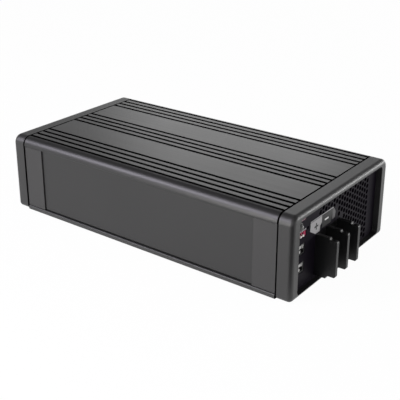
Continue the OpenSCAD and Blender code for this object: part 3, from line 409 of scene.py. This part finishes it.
@dataclass(frozen=True)
class Grooved(Anodised):
    """The cover's skin, with shade painted black in and beside the grooves of its top.

    The grooves lie in groups at group_pitch, and flat_end is the share of the long edges'
    rounding at which the flat top ends. group_reach is counted in grooves.
    """

    depth: float = 0.00025
    lip_depth: float = 0.00005
    rounding: float = 0.0055
    flat_end: float = 0.9
    group_pitch: float = 0.0415
    group_reach: Span = (1.95, 2.0)
    groove_pitch: float = 0.00555
    dark_width: float = 0.0026
    dark_soft: float = 0.0002

    def painted_shade_mask(self, sheet: Sheet) -> Wire:
        """Adds the mask of painted shade: black at the seams, and in the grooves and along their
        lips.

        Args:
            sheet: the material's node sheet.

        Returns:
            The mask, which is 1 where shade is painted black.
        """
        _, half, top = CAD_BOX[1]
        y = abs(sheet.along("Y"))
        flat = ~sheet.ramp(y, half - self.rounding, half - self.flat_end * self.rounding)
        below = ~sheet.ramp(sheet.along("Z"), top - self.depth, top - self.lip_depth)
        across = y.folded(self.group_pitch / 2)
        edge = (self.groove_pitch - self.dark_width) / 2
        lips = sheet.ramp(across.folded(self.groove_pitch / 2), edge, edge + self.dark_soft)
        grouped = ~sheet.ramp(across, *(reach * self.groove_pitch for reach in self.group_reach))
        # Painted shade: the groove floors and a band along each groove's lips are painted black.
        return super().painted_shade_mask(sheet) | flat * (below | lips * grouped)


@dataclass(frozen=True)
class Moulded(Finish):
    """Moulded plastic with the fine spark texture of its tool."""

    grain_scale: float = 2600.0
    grain_depth: float = 12e-6
    edge: float = 0.0
    # Painted shade: the span along X from the middle painted black as shade in the seams, if any.
    seam: Optional[Span] = None
    gloss: float = 0.5
    cloud_scale: float = 40.0
    tones: Span = (0.92, 1.08)
    grain_sway: float = 0.12

    def build(self) -> bpy.types.Material:
        """Builds the skin from the tool's grain and a slow cloud.

        Returns:
            The finished material.
        """
        sheet = Sheet.named(self.name)
        place = sheet.place()
        grain = sheet.noise(place, self.grain_scale)
        cloud = sheet.noise(place, self.cloud_scale)
        return sheet.surface(
            sheet.beside(*self.seam) if self.seam else None,
            Base_Color=self.toned(sheet, cloud, self.tones),
            Roughness=self.roughness + grain.sway(self.grain_sway),
            Specular_IOR_Level=self.gloss,
            Normal=sheet.bump(grain, self.grain_depth, edge=self.edge),
        )


@dataclass(frozen=True)
class PowderCoat(Finish):
    """Baked powder on sheet steel, with its orange peel."""

    peel_scale: float = 1300.0
    peel_depth: float = 16e-6
    gloss: float = 0.06
    powder_scale: float = 4200.0
    powder_sway: float = 0.15
    tones: Span = (0.85, 1.15)

    def build(self) -> bpy.types.Material:
        """Builds the coat from the peel's cells and the powder's grain.

        Returns:
            The finished material.
        """
        sheet = Sheet.named(self.name)
        place = sheet.place()
        peel = sheet.cells(place, self.peel_scale)
        powder = sheet.noise(place, self.powder_scale, octaves=1.0)
        return sheet.surface(
            Base_Color=self.toned(sheet, powder, self.tones),
            Roughness=self.roughness + powder.sway(self.powder_sway),
            Specular_IOR_Level=self.gloss,
            Normal=sheet.bump(peel, self.peel_depth),
        )


@dataclass(frozen=True)
class Metal(Finish):
    """Bare or plated metal with a fine brushed grain."""

    grain_scale: float = 1500.0
    grain_stretch: float = 0.08
    grain_depth: float = 4e-6
    grain_sway: float = 0.18
    stain_scale: float = 260.0
    tones: Span = (0.86, 1.08)

    def build(self) -> bpy.types.Material:
        """Builds the metal from its brushed grain and slow stains.

        Returns:
            The finished material.
        """
        sheet = Sheet.named(self.name)
        streaks = sheet.place((self.grain_stretch, 1.0, 1.0))
        grain = sheet.noise(streaks, self.grain_scale, octaves=3.0)
        stain = sheet.noise(sheet.place(), self.stain_scale, octaves=3.0)
        return sheet.surface(
            Base_Color=self.toned(sheet, stain, self.tones),
            Metallic=1.0,
            Roughness=self.roughness + grain.sway(self.grain_sway),
            Normal=sheet.bump(grain, self.grain_depth),
        )


@dataclass(frozen=True)
class Laminate(Finish):
    """A circuit board: solder mask over faint copper tracks."""

    track_scale: float = 210.0
    track_edge: Span = (0.42, 0.46)
    track_depth: float = 30e-6
    track_strength: float = 0.6
    weave_scale: float = 3000.0
    weave_sway: float = 0.1
    tones: Span = (1.0, 1.9)

    def build(self) -> bpy.types.Material:
        """Builds the board's face from its tracks and the cloth's weave.

        Returns:
            The finished material.
        """
        sheet = Sheet.named(self.name)
        place = sheet.place()
        tracks = sheet.ramp(sheet.cells(place, self.track_scale), *self.track_edge)
        weave = sheet.noise(place, self.weave_scale, octaves=1.0)
        return sheet.surface(
            Base_Color=self.toned(sheet, tracks, self.tones),
            Roughness=self.roughness + weave.sway(self.weave_sway),
            Normal=sheet.bump(tracks, self.track_depth, self.track_strength),
        )


@dataclass(frozen=True)
class Sintered(Finish):
    """Sintered or fired body: dull, with a mineral speckle."""

    speck_scale: float = 1800.0
    speck_depth: float = 14e-6
    speck_sway: float = 0.2
    tones: Span = (0.7, 1.3)

    def build(self) -> bpy.types.Material:
        """Builds the body from its specks.

        Returns:
            The finished material.
        """
        sheet = Sheet.named(self.name)
        specks = sheet.noise(sheet.place(), self.speck_scale, octaves=4.0)
        return sheet.surface(
            Base_Color=self.toned(sheet, specks, self.tones),
            Roughness=self.roughness + specks.sway(self.speck_sway),
            Normal=sheet.bump(specks, self.speck_depth),
        )


@dataclass(frozen=True)
class Resin(Finish):
    """Milky cast resin that lets a little light in."""

    clearness: float = 0.12
    coat: float = 0.1
    gloss: float = 0.3
    haze_scale: float = 900.0
    haze_sway: float = 0.06
    tones: Span = (0.9, 1.1)

    def build(self) -> bpy.types.Material:
        """Builds the resin from its haze.

        Returns:
            The finished material.
        """
        sheet = Sheet.named(self.name)
        haze = sheet.noise(sheet.place(), self.haze_scale)
        return sheet.surface(
            Base_Color=self.toned(sheet, haze, self.tones),
            Roughness=self.roughness + haze.sway(self.haze_sway),
            Specular_IOR_Level=self.gloss,
            Transmission_Weight=self.clearness,
            Coat_Weight=self.coat,
        )


@dataclass(frozen=True)
class Ink(Finish):
    """Screen print: flat, with tiny gaps in its film."""

    film_scale: float = 3800.0
    film_depth: float = 4e-6
    film_sway: float = 0.1
    gap_edge: Span = (0.25, 0.45)
    tones: Span = (0.8, 1.0)

    def build(self) -> bpy.types.Material:
        """Builds the print from its film and the gaps in it.

        Returns:
            The finished material.
        """
        sheet = Sheet.named(self.name)
        film = sheet.noise(sheet.place(), self.film_scale)
        return sheet.surface(
            Base_Color=self.toned(sheet, sheet.ramp(film, *self.gap_edge), self.tones),
            Roughness=self.roughness + film.sway(self.film_sway),
            Normal=sheet.bump(film, self.film_depth),
        )


class Look(Enum):
    """Every finish of the charger."""

    COVER = Grooved("anodised_cover", (0.0115, 0.0114, 0.0116), 0.38)
    CASE = Anodised("anodised_case", (0.022, 0.022, 0.022), 0.42)
    # The bezels and plates have shade painted black where they face the seams, over their seam
    # spans.
    BEZEL = Moulded(
        "bezel_plastic", (0.012, 0.0118, 0.012), 0.44,
        edge=0.0003, seam=(0.09, 0.1005), gloss=0.58,
    )
    PLATE = Moulded(
        "plate_plastic", (0.021, 0.0206, 0.0208), 0.44,
        edge=0.0003, seam=(0.0993, 0.2),
    )
    SHEET = PowderCoat("painted_sheet", (0.0065, 0.0048, 0.0086), 0.5)
    BLOCK = Moulded("block_plastic", (0.003, 0.003, 0.0035), 0.42, 1500.0, 6e-6, 0.0004, gloss=0.35)
    ZINC = Metal("zinc_steel", (0.62, 0.63, 0.64), 0.3)
    TINNED = Metal("tinned_copper", (0.72, 0.70, 0.64), 0.34)
    LAMP = Resin("lamp_resin", (0.17, 0.17, 0.165), 0.5)
    RED = Moulded("red_plastic", (0.30, 0.008, 0.05), 0.4, 1800.0, 5e-6)
    # Painted shade: the sockets get a dark grey that stands in for the shade in their recessed
    # mouths, in place of their white.
    SOCKET = Moulded("socket_shade_grey", (0.02, 0.02, 0.021), 0.5, 1800.0, 5e-6)
    CONTACT = Metal("contact_spring", (0.52, 0.52, 0.51), 0.5)
    # Painted shade: the black of the bands that fill the seams.
    SEAM_SHADE = Moulded("seam_shade_black", (0.003, 0.003, 0.003), 0.95, 1200.0, 30e-6, gloss=0.1)
    RING = Moulded("ring_plastic", (0.10, 0.10, 0.102), 0.7, 1800.0, 5e-6, gloss=0.1)
    WHITE = Moulded("white_plastic", (0.78, 0.77, 0.73), 0.45, 1800.0, 5e-6)
    LAMINATE = Laminate("board_laminate", (0.03, 0.11, 0.05), 0.38)
    FAN = Moulded("fan_plastic", (0.015, 0.015, 0.016), 0.42)
    CORE = Metal("core_steel", (0.25, 0.26, 0.27), 0.5)
    COPPER = Metal("copper_wire", (0.48, 0.19, 0.08), 0.3)
    SLEEVE = Moulded("wire_sleeve", (0.35, 0.02, 0.02), 0.5)
    BRASS = Metal("brass_metal", (0.66, 0.50, 0.24), 0.32)
    CERAMIC = Sintered("fuse_ceramic", (0.78, 0.77, 0.72), 0.4)
    YELLOW = Moulded("yellow_plastic", (0.62, 0.42, 0.04), 0.3, 900.0, 5e-6)
    FERRITE = Sintered("ferrite", (0.05, 0.05, 0.055), 0.6)
    CAN = Moulded("can_aluminium", (0.03, 0.035, 0.06), 0.3, 900.0, 4e-6)
    BAR = Metal("bar_aluminium", (0.55, 0.56, 0.57), 0.4)
    PALE_INK = Ink("pale_ink", (0.30, 0.295, 0.30), 0.6)
    GREY_INK = Ink("grey_ink", (0.075, 0.072, 0.074), 0.6)
    ROSE_INK = Ink("rose_ink", (0.30, 0.17, 0.20), 0.6)
    WHITE_INK = Ink("white_ink", (0.75, 0.75, 0.74), 0.6)
    BLACK_INK = Ink("black_ink", (0.003, 0.003, 0.0035), 0.55)


class Wardrobe:
    """Builds each finish once and hands it out."""

    def __init__(self) -> None:
        """Starts with no material made."""
        self._made: dict[Look, bpy.types.Material] = {}

    def get(self, look: Look) -> bpy.types.Material:
        """Hands out a material, which is made at its first use.

        Args:
            look: the finish.

        Returns:
            The finish's material.
        """
        if look not in self._made:
            self._made[look] = look.value.build()
        return self._made[look]

    def dress_nodes(self, looks: dict[str, Look]) -> None:
        """Gives CAD nodes their finishes.

        Args:
            looks: the finish of each node, by the node's name.
        """
        for name, look in looks.items():
            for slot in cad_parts[name].material_slots:
                slot.material = self.get(look)
            LOG.info("dressed %s in %s", name, look.value.name)

    def dress_piece(
        self, piece: bpy.types.Object, look: Look, slot: str, body: str = CASE
    ) -> None:
        """Gives a new piece its finish and lets it ride on a body.

        Args:
            piece: the new mesh object.
            look: the finish.
            slot: the record's material slot; not used.
            body: the body that it rides on.
        """
        piece.data.materials.append(self.get(look))
        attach(piece, body)
        LOG.info("added %s on %s", piece.name, body)


def mesh_object(name: str, mesh: bmesh.types.BMesh) -> bpy.types.Object:
    """Turns a built mesh into an object in the scene.

    Args:
        name: the object's name.
        mesh: the built mesh, which is freed.

    Returns:
        The new object.
    """
    data = bpy.data.meshes.new(name)
    mesh.to_mesh(data)
    mesh.free()
    piece = bpy.data.objects.new(name, data)
    bpy.context.scene.collection.objects.link(piece)
    return piece


def ring_of(mesh: bmesh.types.BMesh, spots: Sequence[Spot]) -> list[bmesh.types.BMVert]:
    """Returns new corners of the mesh, at spots that are given in millimetres."""
    return [mesh.verts.new([value * MM for value in spot]) for spot in spots]


def join_rings(
    mesh: bmesh.types.BMesh,
    ring: Sequence[bmesh.types.BMVert],
    following: Sequence[bmesh.types.BMVert],
) -> None:
    """Joins two rings of as many corners by faces.

    Args:
        mesh: the mesh that both are in.
        ring: the first ring's corners.
        following: the second ring's corners.
    """
    for i in range(len(ring)):
        j = (i + 1) % len(ring)
        mesh.faces.new((ring[i], ring[j], following[j], following[i]))


def closed_band(rings: Sequence[Sequence[Spot]]) -> bmesh.types.BMesh:
    """Builds a band that runs through rings and closes on the first.

    Args:
        rings: the corners of each ring as x, y and z in millimetres.

    Returns:
        The mesh of the band.
    """
    mesh = bmesh.new()
    loops = [ring_of(mesh, ring) for ring in rings]
    for loop, following in zip(loops, loops[1:] + loops[:1]):
        join_rings(mesh, loop, following)
    bmesh.ops.recalc_face_normals(mesh, faces=mesh.faces)
    return mesh


def raised_plates(
    outlines: Sequence[Sequence[Point]], x: float, height: float
) -> bmesh.types.BMesh:
    """Builds thin plates that lie on a face turned to +X.

    Args:
        outlines: each plate's corners as y and z in millimetres, counter-clockwise seen from +X.
        x: the face's place in millimetres.
        height: the plates' thickness in millimetres.

    Returns:
        The mesh of all the plates.
    """
    mesh = bmesh.new()
    for outline in outlines:
        low = ring_of(mesh, [(x, y, z) for y, z in outline])
        high = ring_of(mesh, [(x + height, y, z) for y, z in outline])
        mesh.faces.new(high)
        mesh.faces.new(list(reversed(low)))
        join_rings(mesh, low, high)
    bmesh.ops.recalc_face_normals(mesh, faces=mesh.faces)
    return mesh


def bar(y: float, z: float, width: float, height: float) -> list[Point]:
    """Returns the corners of an upright rectangle about y and z, in millimetres."""
    return [
        (y - width / 2, z - height / 2),
        (y + width / 2, z - height / 2),
        (y + width / 2, z + height / 2),
        (y - width / 2, z + height / 2),
    ]


def middle(low: Sequence[float], high: Sequence[float]) -> Point:
    """Returns the y and z of a box's middle in millimetres.

    Args:
        low: the box's low corner in metres.
        high: its high corner.

    Returns:
        The middle's y and z.
    """
    y, z = ((low[axis] + high[axis]) / 2 / MM for axis in (1, 2))
    return y, z


def direction(azimuth: float, elevation: float) -> Vector:
    """Returns the way from the charger to a place round it.

    Args:
        azimuth: degrees from -Y toward +X.
        elevation: degrees above the floor.

    Returns:
        The way as a vector of length 1.
    """
    a, e = math.radians(azimuth), math.radians(elevation)
    return Vector((math.sin(a) * math.cos(e), -math.cos(a) * math.cos(e), math.sin(e)))


@dataclass
class Housing:
    """The cover, base, bezels, side plates and their screws.

    The seam shades are black bands of painted shade that fill the seams between the case and
    each bezel. Their sizes are in millimetres: the seam's width, how far a band lies in from
    the case's sides and top, its foot's height, its thickness and the radii of its corners, each
    of which is made in so many steps.
    """

    wardrobe: Wardrobe
    corners: Sequence[str] = ("front_left", "front_right", "rear_left", "rear_right")
    seam_w: float = 0.8
    band_in: float = 1.9
    band_in_top: float = 0.95
    band_low: float = 0.8
    band_wall: float = 1.4
    band_r: float = 4.4
    foot_r: float = 1.6
    steps: int = 8

    def dress(self) -> None:
        """Gives every piece of the housing its finish."""
        self.wardrobe.dress_nodes({
            "cover": Look.COVER,
            "base_plate": Look.CASE,
            "front_bezel": Look.BEZEL,
            "rear_bezel": Look.BEZEL,
            **{f"side_plate_{corner}": Look.PLATE for corner in self.corners},
            "case_screws": Look.ZINC,
        })

    def shade_seams(self) -> None:
        """Adds a black band of painted shade that fills the seam between the case and each bezel.
        """
        high_x, high_y, high_z = (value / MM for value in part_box("cover")[1])
        half, top = high_y - self.band_in, high_z - self.band_in_top
        outer = high_x + self.seam_w
        for name, start, end in (("front_seam_shade", high_x, outer), ("rear_seam_shade", -outer, -high_x)):
            profile = ((start, 0.0), (end, 0.0), (end, self.band_wall), (start, self.band_wall))
            rings = []
            for x, inset in profile:
                outline = self.arch(half - inset, self.band_low + inset, top - inset)
                rings.append([(x, y, z) for y, z in outline])
            shade_band = mesh_object(name, closed_band(rings))
            self.wardrobe.dress_piece(shade_band, Look.SEAM_SHADE, "bezel_plastic")

    def arch(self, half: float, low: float, top: float) -> list[Point]:
        """Draws a rounded rectangle across the case, in millimetres.

        Args:
            half: half its width.
            low: its foot's height.
            top: its top's height.

        Returns:
            Its corners as y and z, counter-clockwise seen from +X.
        """
        corners = [
            (half - self.band_r, top - self.band_r, self.band_r),
            (self.band_r - half, top - self.band_r, self.band_r),
            (self.foot_r - half, low + self.foot_r, self.foot_r),
            (half - self.foot_r, low + self.foot_r, self.foot_r),
        ]
        outline = []
        for quarter, (y, z, radius) in enumerate(corners):
            for step in range(self.steps + 1):
                turn = math.radians(90.0 * quarter + 90.0 * step / self.steps)
                outline.append((y + radius * math.cos(turn), z + radius * math.sin(turn)))
        return outline


@dataclass
class TerminalEnd:
    """The perforated panel with its terminals, signals and printed fields.

    All sizes are in millimetres. Outlines and places are y and z on the panel's face, a film is
    one layer of ink, and the springs' places are told from the middle of their socket.
    """

    wardrobe: Wardrobe
    film: float = 0.06
    positive_outline: Sequence[Point] = (
        (-31.7, 33.8), (-25.4, 30.1), (-20.6, 30.3), (-20.6, 33.4),
        (-18.7, 34.9), (-18.7, 38.9), (-31.6, 38.9),
    )
    negative_outline: Sequence[Point] = (
        (-18.3, 31.0), (-8.0, 31.0), (-6.9, 34.6), (-6.9, 38.9), (-18.3, 38.9),
    )
    side_outline: Sequence[Point] = (
        (-6.5, 32.2), (-3.2, 32.2), (-2.6, 36.0), (-4.6, 38.9), (-6.5, 38.9),
    )
    # Painted highlight: a pale strip along the fields' top edge, where their edge catches the
    # light.
    field_edge_highlight: Box = (-18.4, 39.5, 26.2, 0.6)
    plus_at: Point = (-25.0, 34.7)
    minus_at: Point = (-13.2, 35.2)
    sign_w: float = 4.2
    sign_t: float = 1.0
    lamp_frame: Box = (-41.0, 45.3, 6.4, 1.8)
    frame_t: float = 0.4
    first_mark: Box = (-42.3, 37.9, 1.2, 0.8)
    mark_pitch: float = 1.7
    marks: int = 4
    socket_floor: float = 1.5
    spring_in: float = 0.15
    springs: Sequence[Box] = (
        (-0.3, 1.4, 3.0, 1.8), (-0.7, -1.4, 1.7, 1.7),
        (-2.4, -1.6, 1.3, 1.5), (2.4, 1.2, 1.3, 2.2),
    )
    ring_in: float = 1.95
    ring_out: float = 2.7
    ring_inner_rise: float = 0.4
    ring_outer_rise: float = 0.25
    ring_sides: int = 48
    face_x: float = field(init=False)

    def __post_init__(self) -> None:
        """Reads the panel's face from the frame."""
        self.face_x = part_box("front_panel")[1][0] / MM

    def dress(self) -> None:
        """Gives every piece of the terminal end its finish."""
        self.wardrobe.dress_nodes({
            "front_panel": Look.SHEET,
            "terminal_block": Look.BLOCK,
            "positive_tab": Look.TINNED,
            "negative_tab": Look.TINNED,
            "terminal_nuts": Look.ZINC,
            "clamp_washers": Look.ZINC,
            "terminal_screws": Look.ZINC,
            "status_lamp": Look.LAMP,
            "lamp_holder": Look.BLOCK,
            "switch_body": Look.RED,
            "switch_lever_left": Look.WHITE,
            "switch_lever_right": Look.WHITE,
            "sensor_socket": Look.SOCKET,
            "remote_socket": Look.SOCKET,
            "socket_pins": Look.TINNED,
            "signal_board": Look.LAMINATE,
        })

    def print_fields(self) -> None:
        """Adds the polarity fields with their signs, a painted highlight along their top edge, and
        the rules and marks beside them.
        """
        minus = bar(*self.minus_at, self.sign_w, self.sign_t)
        y, z, width, height = self.first_mark
        marks = [bar(y + self.mark_pitch * i, z, width, height) for i in range(self.marks)]
        self.print_film("positive_field", [self.positive_outline], Look.PALE_INK)
        self.print_film("negative_field", [self.negative_outline], Look.BLACK_INK)
        self.print_film("side_field", [self.side_outline], Look.GREY_INK)
        # The pale strip above the fields is a painted highlight on their top edge.
        self.print_film("field_edge_highlight", [bar(*self.field_edge_highlight)], Look.PALE_INK)
        self.print_film("plus_sign", [self.cross(*self.plus_at)], Look.BLACK_INK, layers=2)
        self.print_film("minus_sign", [minus], Look.WHITE_INK, layers=2)
        self.print_film("lamp_frame", self.window(*self.lamp_frame), Look.ROSE_INK)
        self.print_film("switch_scale", marks, Look.PALE_INK)

    def print_film(
        self, name: str, outlines: Sequence[Sequence[Point]], look: Look, layers: int = 1
    ) -> None:
        """Adds one print on the panel.

        Args:
            name: the piece's name.
            outlines: the corners of each of its fields.
            look: its ink.
            layers: how many films of ink lie on each other.
        """
        films = mesh_object(name, raised_plates(outlines, self.face_x, layers * self.film))
        self.wardrobe.dress_piece(films, look, "painted_sheet")

    def fit_contacts(self) -> None:
        """Adds the contact springs that stand on the floor of each socket's mouth."""
        for name in ("sensor_socket", "remote_socket"):
            low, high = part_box(name)
            y, z = middle(low, high)
            floor_x = low[0] / MM + self.socket_floor
            length = high[0] / MM - self.spring_in - floor_x
            outlines = [bar(y + dy, z + dz, *size) for dy, dz, *size in self.springs]
            springs = mesh_object(f"{name}_springs", raised_plates(outlines, floor_x, length))
            self.wardrobe.dress_piece(springs, Look.CONTACT, "tinned_copper")

    def ring_lamp(self) -> None:
        """Adds the collar round the lamp, on the panel's face."""
        y, z = middle(*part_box("status_lamp"))
        turns = [2 * math.pi * i / self.ring_sides for i in range(self.ring_sides)]
        profile = (
            (self.ring_in, 0.0),
            (self.ring_out, 0.0),
            (self.ring_out, self.ring_outer_rise),
            (self.ring_in, self.ring_inner_rise),
        )
        rings = [
            [(self.face_x + rise, y + r * math.cos(t), z + r * math.sin(t)) for t in turns]
            for r, rise in profile
        ]
        collar = mesh_object("lamp_collar", closed_band(rings))
        self.wardrobe.dress_piece(collar, Look.RING, "lamp_resin")

    def cross(self, y: float, z: float) -> list[Point]:
        """Draws the plus sign.

        Args:
            y: its middle's y.
            z: its middle's z.

        Returns:
            The corners of its outline.
        """
        a, b = self.sign_t / 2, self.sign_w / 2
        arms = [
            (-a, -b), (a, -b), (a, -a), (b, -a), (b, a), (a, a),
            (a, b), (-a, b), (-a, a), (-b, a), (-b, -a), (-a, -a),
        ]
        return [(y + dy, z + dz) for dy, dz in arms]

    def window(self, y: float, z: float, width: float, height: float) -> list[list[Point]]:
        """Draws an open rectangle.

        Args:
            y: its middle's y.
            z: its middle's z.
            width: its width from rule to rule.
            height: its height from rule to rule.

        Returns:
            The corners of each of its four rules.
        """
        return [
            bar(y, z - height / 2, width, self.frame_t),
            bar(y, z + height / 2, width, self.frame_t),
            bar(y - width / 2, z, self.frame_t, height),
            bar(y + width / 2, z, self.frame_t, height),
        ]


@dataclass
class InletEnd:
    """The rear panel with the mains inlet and the fan."""

    wardrobe: Wardrobe

    def dress(self) -> None:
        """Gives every piece of the rear end its finish."""
        self.wardrobe.dress_nodes({
            "rear_panel": Look.SHEET,
            "inlet_body": Look.BLOCK,
            "inlet_pins": Look.TINNED,
            "inlet_screws": Look.ZINC,
            "fan_frame": Look.FAN,
            "fan_stator": Look.CORE,
            "fan_coils": Look.COPPER,
            "fan_rotor": Look.FAN,
            "fan_screws": Look.ZINC,
            "fan_lead": Look.SLEEVE,
        })


@dataclass
class Circuit:
    """The main board and all that stands on it."""

    wardrobe: Wardrobe

    def dress(self) -> None:
        """Gives every piece of the circuit its finish."""
        self.wardrobe.dress_nodes({
            "main_board": Look.LAMINATE,
            "control_board": Look.LAMINATE,
            "board_spacers": Look.BRASS,
            "board_screws": Look.ZINC,
            "fuse": Look.CERAMIC,
            "fuse_clips": Look.BRASS,
            "line_capacitor": Look.YELLOW,
            "line_choke_core": Look.FERRITE,
            "line_choke_windings": Look.COPPER,
            "boost_choke_core": Look.FERRITE,
            "boost_choke_winding": Look.COPPER,
            "bulk_capacitor": Look.CAN,
            "transformer_core": Look.FERRITE,
            "transformer_bobbin": Look.BLOCK,
            "transformer_winding": Look.COPPER,
            "heat_bar_left": Look.BAR,
            "heat_bar_right": Look.BAR,
            "power_transistors": Look.BLOCK,
            "power_screws": Look.ZINC,
            "output_choke_core": Look.FERRITE,
            "output_choke_winding": Look.COPPER,
            "output_capacitors": Look.CAN,
        })


@dataclass(frozen=True)
class Softbox:
    """One soft lamp that looks at the charger.

    The azimuth and elevation are in degrees, as the camera's are, and the lengths in metres.
    """

    name: str
    azimuth: float
    elevation: float
    reach: float
    width: float
    height: float
    watts: float
    colour: Colour = (1.0, 1.0, 1.0)

    def hang(self) -> None:
        """Hangs the lamp in the scene."""
        way = direction(self.azimuth, self.elevation)
        data = bpy.data.lights.new(self.name, "AREA")
        data.shape = "RECTANGLE"
        data.size, data.size_y = self.width, self.height
        data.energy = self.watts
        data.color = self.colour
        light = bpy.data.objects.new(self.name, data)
        turn = way.to_track_quat("Z", "Y").to_matrix().to_4x4()
        light.matrix_world = Matrix.Translation(way * self.reach) @ turn
        bpy.context.scene.collection.objects.link(light)
        LOG.info("hung the lamp %s", self.name)


@dataclass
class Studio:
    """Camera, floor, world and lamps.

    Lengths are in metres, except the camera's focal length and image, which are in pixels, and
    its sensor in millimetres. The dark reflection is painted: a black patch of the floor before
    the near corner that only mirror rays see, where the camera sees white floor.
    dark_reflection_near is how its near edge softens along Y, and dark_reflection_side how its
    side edge does, which slants by dark_reflection_slant.
    """

    azimuth: float = 37.08
    elevation: float = 21.43
    distance: float = 0.5655
    focal_pixels: float = 841.0
    image_pixels: float = 400.0
    axis_row: float = 160.0
    slide_right: float = 0.00405
    slide_up: float = 0.03908
    sensor: float = 36.0
    clip: Span = (0.01, 50.0)
    floor_radius: float = 4.0
    floor_sides: int = 96
    floor_grain: float = 300.0
    floor_tones: tuple[Colour, Colour] = ((0.94, 0.94, 0.94), (0.97, 0.97, 0.97))
    floor_white: float = 0.97
    dark_reflection_near: Span = (-0.07, -0.058)
    dark_reflection_side: Span = (0.135, 0.15)
    dark_reflection_slant: float = 0.4
    lamps: tuple[Softbox, ...] = (
        Softbox("edge", -37.0, 33.0, 1.2, 0.7, 0.5, 11.0, (0.92, 0.88, 1.0)),
        Softbox("side", -4.0, 4.0, 0.4, 0.25, 0.18, 1.1, (1.0, 0.98, 0.95)),
        Softbox("key", 22.0, 34.0, 0.9, 0.5, 0.4, 1.2),
        Softbox("back", 213.0, 22.0, 1.6, 0.6, 0.5, 1.7),
        Softbox("far_side", 142.0, 5.0, 1.0, 1.0, 0.3, 8.0),
    )
    sky_stops: tuple[Span, ...] = ((0.0, 1.0), (0.2, 1.0), (0.34, 0.45), (0.6, 0.12), (1.0, 0.2))

    def camera(self) -> None:
        """Sets the camera at the photograph's angle."""
        back = direction(self.azimuth, self.elevation)
        turn = math.radians(self.azimuth)
        right = Vector((math.cos(turn), math.sin(turn), 0.0))
        up = back.cross(right)
        place = back * self.distance + right * self.slide_right + up * self.slide_up
        data = bpy.data.cameras.new("camera")
        data.sensor_width = self.sensor
        data.lens = self.focal_pixels * self.sensor / self.image_pixels
        data.shift_y = self.axis_row / self.image_pixels - 0.5
        data.clip_start, data.clip_end = self.clip
        camera = bpy.data.objects.new("camera", data)
        axes = Matrix((right, up, back)).transposed().to_4x4()
        camera.matrix_world = Matrix.Translation(place) @ axes
        bpy.context.scene.collection.objects.link(camera)
        bpy.context.scene.camera = camera

    def floor(self) -> None:
        """Lays the pale floor under the charger."""
        mesh = bmesh.new()
        bmesh.ops.create_circle(
            mesh, cap_ends=True, segments=self.floor_sides, radius=self.floor_radius
        )
        floor = mesh_object("floor", mesh)
        floor.data.materials.append(self._floor_material())

    def _floor_material(self) -> bpy.types.Material:
        """Builds a white floor that keeps a faint shadow, with a painted dark reflection: a black
        patch that only mirrors see.

        Returns:
            The floor's material.
        """
        sheet = Sheet.named("studio_floor")
        grain = sheet.noise(sheet.place(), self.floor_grain)
        cloth = sheet.diffuse(sheet.tint(grain, *self.floor_tones))
        white = sheet.add("ShaderNodeEmission", {}, {"Strength": 1.0})
        ground = sheet.mixed(sheet.seen_directly() * self.floor_white, cloth, white)
        # Painted reflection: glossy rays see black in a slanted patch before the near corner.
        before = ~sheet.ramp(sheet.along("Y"), *self.dark_reflection_near)
        slanted = sheet.along("X") - self.dark_reflection_slant * sheet.along("Y")
        dark_reflection = sheet.ray("Glossy") * before * sheet.ramp(slanted, *self.dark_reflection_side)
        return sheet.end(sheet.mixed(dark_reflection, ground, sheet.diffuse(BLACK)))

    def world(self) -> None:
        """Surrounds the charger with white that dims overhead."""
        sheet = Sheet(bpy.data.worlds.new("studio"))
        way = sheet.add("ShaderNodeTexCoord", {}, {}, "Generated")
        height = sheet.add("ShaderNodeSeparateXYZ", {}, {"Vector": way}, "Z")
        sky = sheet.add("ShaderNodeValToRGB", {"stops": self.sky_stops}, {"Fac": height})
        light = sheet.add("ShaderNodeBackground", {}, {"Color": sky, "Strength": 1.0})
        bpy.context.scene.world = sheet.end(light, "ShaderNodeOutputWorld")

    def build(self) -> None:
        """Makes the whole studio."""
        self.camera()
        self.floor()
        self.world()
        for lamp in self.lamps:
            lamp.hang()
        bpy.context.scene.view_settings.view_transform = "Standard"
        LOG.info("studio ready")


def main() -> None:
    """Dresses the charger and builds its studio."""
    logging.basicConfig(level=logging.INFO)
    wardrobe = Wardrobe()
    housing = Housing(wardrobe)
    housing.dress()
    housing.shade_seams()
    terminals = TerminalEnd(wardrobe)
    terminals.dress()
    terminals.print_fields()
    terminals.fit_contacts()
    terminals.ring_lamp()
    InletEnd(wardrobe).dress()
    Circuit(wardrobe).dress()
    Studio().build()


if __name__ == "__main__":
    main()
